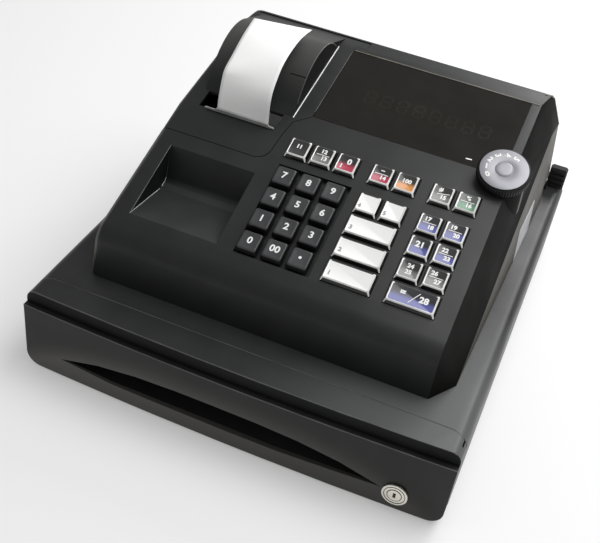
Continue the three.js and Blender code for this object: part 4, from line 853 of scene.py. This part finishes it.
# how far the two faces at an edge look along an axis, and where the edge lies, in metres
edgeFacing = {
    "full": 0.9, "ledge": 0.85, "floorTop": 0.4, "leftBend": 0.6, "seamUnder": 0.02, "seamFront": 0.07,
}
edgeLimits = {"panelTop": 0.05, "housingLeft": -0.12, "coverFront": 0.05}
pocket = {"left": -0.121, "right": -0.108, "front": -0.13, "back": -0.045, "floorTop": 0.1165}
full, ledge = edgeFacing["full"], edgeFacing["ledge"]


def onTrimEdge(a, b, at):
    return a.z > full and b.y < -full


def onTrimSeam(a, b, at):
    return a.z > ledge and b.y > full


def onPanelEdge(a, b, at):
    return onTrimEdge(a, b, at) and at.z > edgeLimits["panelTop"]


def onPocketWall(a, at):
    inside = pocket["left"] < at.x < pocket["right"] and pocket["front"] < at.y < pocket["back"]
    return a.x > full and inside


def onPocketFloor(a, b, at):
    return onPocketWall(a, at) and at.z < pocket["floorTop"] and b.z > edgeFacing["floorTop"]


def onPocketRim(a, b, at):
    return onPocketWall(a, at) and at.z > pocket["floorTop"]


def onLeftBend(a, b, at):
    bent = -full < a.x < -edgeFacing["leftBend"] and b.x < -full
    return bent and at.y < 0 and at.x < edgeLimits["housingLeft"]


def onCoverSeam(a, b, at):
    under = b.z < -edgeFacing["seamUnder"] and b.y < -edgeFacing["seamFront"]
    return a.z > ledge and under and at.y < edgeLimits["coverFront"]


# node, finish, radius, how far the line is moved in from its edges, and the test that picks them
# the light lines are painted highlights; the cover's seam line is dark
edgeLines = {
    "trimEdgeLine": ("front_trim", "edgeLight", 0.36, (0, 0.12, -0.14), onTrimEdge),
    "trimSeamLine": ("front_trim", "edgeLight", 0.24, (0, 0, -0.08), onTrimSeam),
    "panelEdgeLine": ("drawer_front", "edgeLight", 0.34, (0, 0.12, -0.14), onPanelEdge),
    "pocketFloorLine": ("register_case", "tearLine", 0.3, (0.12, 0, 0.1), onPocketFloor),
    "pocketRimLine": ("register_case", "edgeLight", 0.3, (0.08, 0, -0.1), onPocketRim),
    "leftEdgeLine": ("register_case", "warmEdgeHighlight", 0.36, (0.12, 0, -0.12), onLeftBend),
    "coverSeamLine": ("printer_cover", "seam", 0.36, (0, 0, -0.2), onCoverSeam),
}
for name, (node, material, radius, drop, chosen) in edgeLines.items():
    edgeLine(name, node, material, radius, drop, chosen)
print("edge lines done")


# Window: pointer, unlit digits and the painted highlight lines round it

def straightPath(start, end, place):
    first, last = Vector(start) * mm, Vector(end) * mm
    steps = beadLine["steps"]
    return [place @ first.lerp(last, i / steps) for i in range(steps + 1)]


window = {"left": -28.5, "front": 26.6, "back": 113.3}
pointer = {"x": 93.6, "s": 33.6, "width": 4.6, "depth": 1.2, "lift": 0.05, "turn": 0.1}
digits = {
    "count": 8, "left": 4, "pitch": 13.2, "row": 66, "width": 7.4, "height": 13.0, "stroke": 1.5,
    "lift": 0.04,
}
work = bmesh.new()
strip(work, pointer["x"], pointer["s"], pointer["width"], pointer["depth"], pointer["lift"], displayFrame,
      pointer["turn"])
legendPiece("dialPointer", "cabinet", work)

work = bmesh.new()
width, height, stroke = digits["width"], digits["height"], digits["stroke"]
row, lift = digits["row"], digits["lift"]
for digit in range(digits["count"]):
    middle = digits["left"] + digit * digits["pitch"]
    for level in (-1, 0, 1):
        strip(work, middle, row + level * height / 2, width - stroke, stroke, lift, displayFrame)
    for side in (-1, 1):
        x = middle + side * width / 2
        for level in (-1, 1):
            strip(work, x, row + level * height / 4, stroke, height / 2 - stroke, lift, displayFrame)
legendPiece("unlitDigits", "cabinet", work, "segments", "window_smoked")

# millimetres on the display face, but for the rear edge, which is in the object's own axes
ridge = {
    "inset": 1, "right": 126.6, "behind": 0.75, "drop": -0.1, "radius": 0.5,
    "rearEdge": [(126.6, 120.6, 179.7), (131.9, 121.6, 179.3), (134.2, 128.6, 174.7), (143.0, 141.5, 147.0)],
}
windowEdge = {"outside": 0.55, "start": 6, "drop": -0.15, "radius": 0.3}
gutter = {"start": (-41.7, 19.6, 0.05), "end": (-41.5, 113, 0.05), "radius": 0.5}

# painted highlight lines along the ridge behind the window and along the rear edge
ridgeS = window["back"] + ridge["behind"]
ridgePath = straightPath((window["left"] + ridge["inset"], ridgeS, ridge["drop"]),
                         (ridge["right"], ridgeS, ridge["drop"]), displayFrame)
rearPath = [Vector(spot) * mm for spot in ridge["rearEdge"]]
linePiece("ridgeLine", "cabinet", "housing_black", "warmEdgeHighlight", [ridgePath, rearPath], ridge["radius"])

# painted highlight lines along the window's left edge and the dome's foot
edgeX = window["left"] - windowEdge["outside"]
edgePath = straightPath((edgeX, window["front"] + windowEdge["start"], windowEdge["drop"]),
                        (edgeX, window["back"], windowEdge["drop"]), displayFrame)
linePiece("windowEdgeLine", "cover", "housing_black", "edgeLight", [edgePath], windowEdge["radius"])
linePiece("gutterLine", "cover", "housing_black", "capBright",
          [straightPath(gutter["start"], gutter["end"], displayFrame)], gutter["radius"])
print("window done")


# Paper strip, tear bar and the dome's details

paper = {
    "left": -97.3, "right": -54.7, "thickness": 0.14, "rows": 56, "columns": 14, "smooth": 80,
    "leftEdge": [(-9.7, 151), (-9.6, 156.4), (-8.2, 168.6), (-4.8, 181.6), (-0.7, 188.1), (10.6, 193.9),
                 (28.7, 202.9), (47.7, 209.2)],
    "rightEdge": [(-9.7, 151), (-9.7, 156.7), (-9.6, 179), (-1.7, 192), (12.6, 202), (38.5, 207.3),
                  (63.8, 205.1)],
}


def edgeCurve(points, steps):  # a smooth curve through the points, in steps of equal length
    spots = [Vector((0, y, z)) * mm for y, z in points]
    lengths = [0]
    for first, last in zip(spots, spots[1:]):
        lengths.append(lengths[-1] + (last - first).length)
    line = []
    for step in range(steps + 1):
        way = lengths[-1] * step / steps
        part = max(i for i in range(len(spots) - 1) if lengths[i] <= way + 1e-9)
        share = (way - lengths[part]) / (lengths[part + 1] - lengths[part])
        before, start = spots[max(part - 1, 0)], spots[part]
        end, after = spots[part + 1], spots[min(part + 2, len(spots) - 1)]
        pull = (end - before) / 2, (after - start) / 2
        square, cube = share ** 2, share ** 3
        line.append(start * (2 * cube - 3 * square + 1) + pull[0] * (cube - 2 * square + share)
                    + end * (3 * square - 2 * cube) + pull[1] * (cube - square))
    return line


work = bmesh.new()
leftLine, rightLine = (edgeCurve(paper[edge], paper["rows"]) for edge in ("leftEdge", "rightEdge"))
sheetRows = []
for leftSpot, rightSpot in zip(leftLine, rightLine):
    cells = []
    for column in range(paper["columns"] + 1):
        share = column / paper["columns"]
        spot = leftSpot.lerp(rightSpot, share)
        spot.x = (paper["left"] + (paper["right"] - paper["left"]) * share) * mm
        cells.append(work.verts.new(spot))
    sheetRows.append(cells)
for low, high in zip(sheetRows, sheetRows[1:]):
    for i in range(paper["columns"]):
        work.faces.new((low[i], low[i + 1], high[i + 1], high[i]))
sheet = addPiece("receiptStrip", meshFrom("receiptStrip", work, paper["smooth"]), "cover", "paper", "paper",
                 replaced="paper_strip")
solid = sheet.modifiers.new("thickness", "SOLIDIFY")
solid.thickness = paper["thickness"] * mm
solid.offset = 0

tearBar = {
    "left": -107.2, "right": -49.7, "thickLeft": -97.3, "thickRight": -54.7, "front": -11.7, "back": -10.6,
    "low": 156.3, "top": 158.5, "endTop": 157.3, "slant": 0.4, "tipShift": 1.6, "tipRise": 0.25, "step": 1.4,
    "chamfer": 0.6, "brightDepth": 0.7, "smooth": 30,
}


def bladeRings(spots):
    low, front, back, slant = tearBar["low"], tearBar["front"], tearBar["back"], tearBar["slant"]
    tip = front + slant * tearBar["tipShift"]
    rings = []
    for x, top in spots:
        outline = [(front, low), (back, low), (back + slant, top), (tip, top + tearBar["tipRise"]),
                   (front + slant, top)]
        rings.append([(x * mm, y * mm, z * mm) for y, z in outline])
    return rings


barLeft, barRight, chamfer = tearBar["left"], tearBar["right"], tearBar["chamfer"]
thickLeft, thickRight, endTop = tearBar["thickLeft"], tearBar["thickRight"], tearBar["endTop"]
# faces above this height get the tear line's bright colour, a painted highlight
brightFrom = (endTop - tearBar["brightDepth"]) * mm
work = bmesh.new()
rows = stackRings(work, bladeRings([
    (barLeft, endTop - chamfer), (barLeft + chamfer, endTop), (thickLeft - tearBar["step"], endTop),
    (thickLeft, tearBar["top"]), (thickRight, tearBar["top"]), (thickRight + tearBar["step"], endTop),
    (barRight - chamfer, endTop), (barRight, endTop - chamfer),
]), Matrix(), lambda level, first, second: 1 if min(first[2], second[2]) > brightFrom else 0)
closeEnds(work, rows)
addPiece("tearEdge", meshFrom("tearEdge", work, tearBar["smooth"]), "cover", "clear_bar", "tearBar",
         "tearLine", replaced="tear_bar")

dome = {"right": -42, "y": 59.5, "z": 144, "radius": 51, "from": 152, "to": 47, "step": 3, "line": 0.38}
domeSeam = {"angle": 128.5, "lift": 0.02, "x": -48.6, "width": 13, "depth": 0.7, "raise": 0.03}


def domeSpot(x, turn, radius):
    return Vector((x, dome["y"] + radius * math.cos(turn), dome["z"] + radius * math.sin(turn))) * mm


# a painted highlight line along the dome's right edge
domeTurns = [math.radians(angle) for angle in range(dome["from"], dome["to"], -dome["step"])]
linePiece("domeEdgeLine", "cover", "housing_black", "edgeLight",
          [[domeSpot(dome["right"], turn, dome["radius"]) for turn in domeTurns]], dome["line"])

work = bmesh.new()
seamTurn = math.radians(domeSeam["angle"])
seamPlace = (Matrix.Translation(domeSpot(0, seamTurn, dome["radius"] + domeSeam["lift"]))
             @ Matrix.Rotation(seamTurn - math.pi / 2, 4, "X"))
strip(work, domeSeam["x"], 0, domeSeam["width"], domeSeam["depth"], domeSeam["raise"], seamPlace)
legendPiece("domeSeam", "cover", work, "seam", "housing_black")
print("paper, tear bar and dome done")


# Dark rings on the lock's face, painted as the shade in its grooves

lockFace = {"x": 128.1, "y": -180.12, "z": 17.5, "grooves": (5.15, 7.5), "line": 0.24, "steps": 48}
lockTurns = [2 * math.pi * i / lockFace["steps"] for i in range(lockFace["steps"] + 1)]


def grooveSpot(groove, turn):
    x, z = lockFace["x"] + groove * math.cos(turn), lockFace["z"] + groove * math.sin(turn)
    return Vector((x, lockFace["y"], z)) * mm


lockPaths = [[grooveSpot(groove, turn) for turn in lockTurns] for groove in lockFace["grooves"]]
linePiece("lockGrooveShade", "drawer", "nickel", "dialRim", lockPaths, lockFace["line"])
print("lock done")


# Blank plate on the right wall

plate = {
    "front": 43, "back": 94, "low": 70.4, "top": 100.5, "radius": 1.6, "leastRadius": 0.3, "thickness": 0.35,
    "sunk": 0.2, "easeDrop": 0.1, "easeInset": 0.15, "border": 1.1, "borderLevel": 3, "fieldInset": 0.2,
    "fieldDrop": 0.08, "smooth": 30,
}
walls = [face for face in frame["nodes"]["register_case"].data.polygons if isWall(face.normal, face.center)]
wall = max(walls, key=lambda face: face.area)
wallSpot, wallWay = wall.center / mm, wall.normal.normalized()


def onWall(y, z, lift):
    x = wallSpot.x - (wallWay.y * (y - wallSpot.y) + wallWay.z * (z - wallSpot.z)) / wallWay.x
    return (Vector((x, y, z)) + wallWay * lift) * mm


def plateRing(inset, lift):
    width, height = plate["back"] - plate["front"] - 2 * inset, plate["top"] - plate["low"] - 2 * inset
    middleY, middleZ = (plate["front"] + plate["back"]) / 2, (plate["low"] + plate["top"]) / 2
    corners = roundedRectangle(width, height, max(plate["radius"] - inset, plate["leastRadius"]))
    return [onWall(middleY + y, middleZ + z, lift) for y, z in corners]


work = bmesh.new()
thick, border, field = plate["thickness"], plate["border"], plate["border"] + plate["fieldInset"]
plateRings = [
    plateRing(0, -plate["sunk"]), plateRing(0, thick - plate["easeDrop"]),
    plateRing(plate["easeInset"], thick), plateRing(border, thick),
    plateRing(field, thick - plate["fieldDrop"]),
]
rows = stackRings(work, plateRings, Matrix(),
                  lambda level, first, second: 1 if level == plate["borderLevel"] else 0)
closeEnds(work, rows)
addPiece("wallPlate", meshFrom("wallPlate", work, plate["smooth"]), "cabinet", "label_plate", "label",
         "capDim")
print("plate done")


# Camera, floor and light

# place in metres, angles in degrees, lens and sensor in millimetres, shifts as shares of the sensor
camera = {
    "place": (0.1742, -0.6276, 0.5584), "azimuth": 16.76, "elevation": 39.28, "roll": 8.678, "lens": 60.89,
    "sensor": 36, "shiftX": -0.0013, "shiftY": 0.0021,
}
azimuth, elevation, roll = (math.radians(camera[key]) for key in ("azimuth", "elevation", "roll"))
backward = Vector((math.sin(azimuth) * math.cos(elevation), -math.cos(azimuth) * math.cos(elevation),
                   math.sin(elevation)))
level = Vector((math.cos(azimuth), math.sin(azimuth), 0))
upward = level.cross(-backward)
across = math.cos(roll) * level + math.sin(roll) * upward
upward = -math.sin(roll) * level + math.cos(roll) * upward
lens = bpy.data.cameras.new("camera")
lens.sensor_width = camera["sensor"]
lens.lens = camera["lens"]
lens.shift_x = camera["shiftX"]
lens.shift_y = camera["shiftY"]
eye = bpy.data.objects.new("camera", lens)
eye.matrix_world = Matrix((across, upward, backward)).transposed().to_4x4()
eye.location = camera["place"]
scene.collection.objects.link(eye)
scene.camera = eye

studio = {
    "world": 0.40, "floorHalf": 6, "floorDrop": 0.0001, "floorTone": 0.85, "floorRoughness": 0.9,
    "floorSpecular": 0.1, "floorGlow": 0.3,
}
white = (1, 1, 1, 1)
world = bpy.data.worlds.new("studio")
scene.world = world
world.use_nodes = True
background = world.node_tree.nodes["Background"]
background.inputs["Color"].default_value = white
background.inputs["Strength"].default_value = studio["world"]


def rayMask(tree):  # 1 for what the camera sees straight, in a shine or through something clear
    rays = tree.nodes.new("ShaderNodeLightPath").outputs
    seen = compute(tree, "MAXIMUM", rays["Is Camera Ray"], rays["Is Glossy Ray"])
    return compute(tree, "MAXIMUM", seen, rays["Is Transmission Ray"])


work = bmesh.new()
bmesh.ops.create_grid(work, x_segments=2, y_segments=2, size=studio["floorHalf"])
floorMesh = bpy.data.meshes.new("floor")
work.to_mesh(floorMesh)
work.free()
floor = bpy.data.objects.new("floor", floorMesh)
floor.location.z = cadBox[0][2] - studio["floorDrop"]
scene.collection.objects.link(floor)
floorMaterial, tree, shader = newMaterial("floorPale")
shader.inputs["Base Color"].default_value = (studio["floorTone"],) * 3 + (1,)
shader.inputs["Roughness"].default_value = studio["floorRoughness"]
shader.inputs["Specular IOR Level"].default_value = studio["floorSpecular"]
glow = tree.nodes.new("ShaderNodeEmission")
glow.inputs["Color"].default_value = white
blend = tree.nodes.new("ShaderNodeMixShader")
tree.links.new(spread(tree, rayMask(tree), 0, studio["floorGlow"], 0, 1), blend.inputs[0])
tree.links.new(shader.outputs[0], blend.inputs[1])
tree.links.new(glow.outputs[0], blend.inputs[2])
tree.links.new(blend.outputs[0], tree.nodes["Material Output"].inputs["Surface"])
floorMesh.materials.append(floorMaterial)

# place and aim in metres, size in metres and power in watts
lamps = [
    ("overhead", (0.42, 0.22, 1.2), (0.04, 0.05, 0.1), 0.9, 12),
    ("rear", (0.42, 1.43, 0.95), (0.1, 0, 0.1), 0.8, 12),
]
for name, place, aim, size, power in lamps:
    light = bpy.data.lights.new(name, "AREA")
    light.size = size
    light.energy = power
    lamp = bpy.data.objects.new(name, light)
    lamp.location = place
    lamp.rotation_euler = (Vector(aim) - Vector(place)).to_track_quat("-Z", "Y").to_euler()
    scene.collection.objects.link(lamp)

scene.view_settings.view_transform = "Standard"
print("camera, floor and lamps ready")
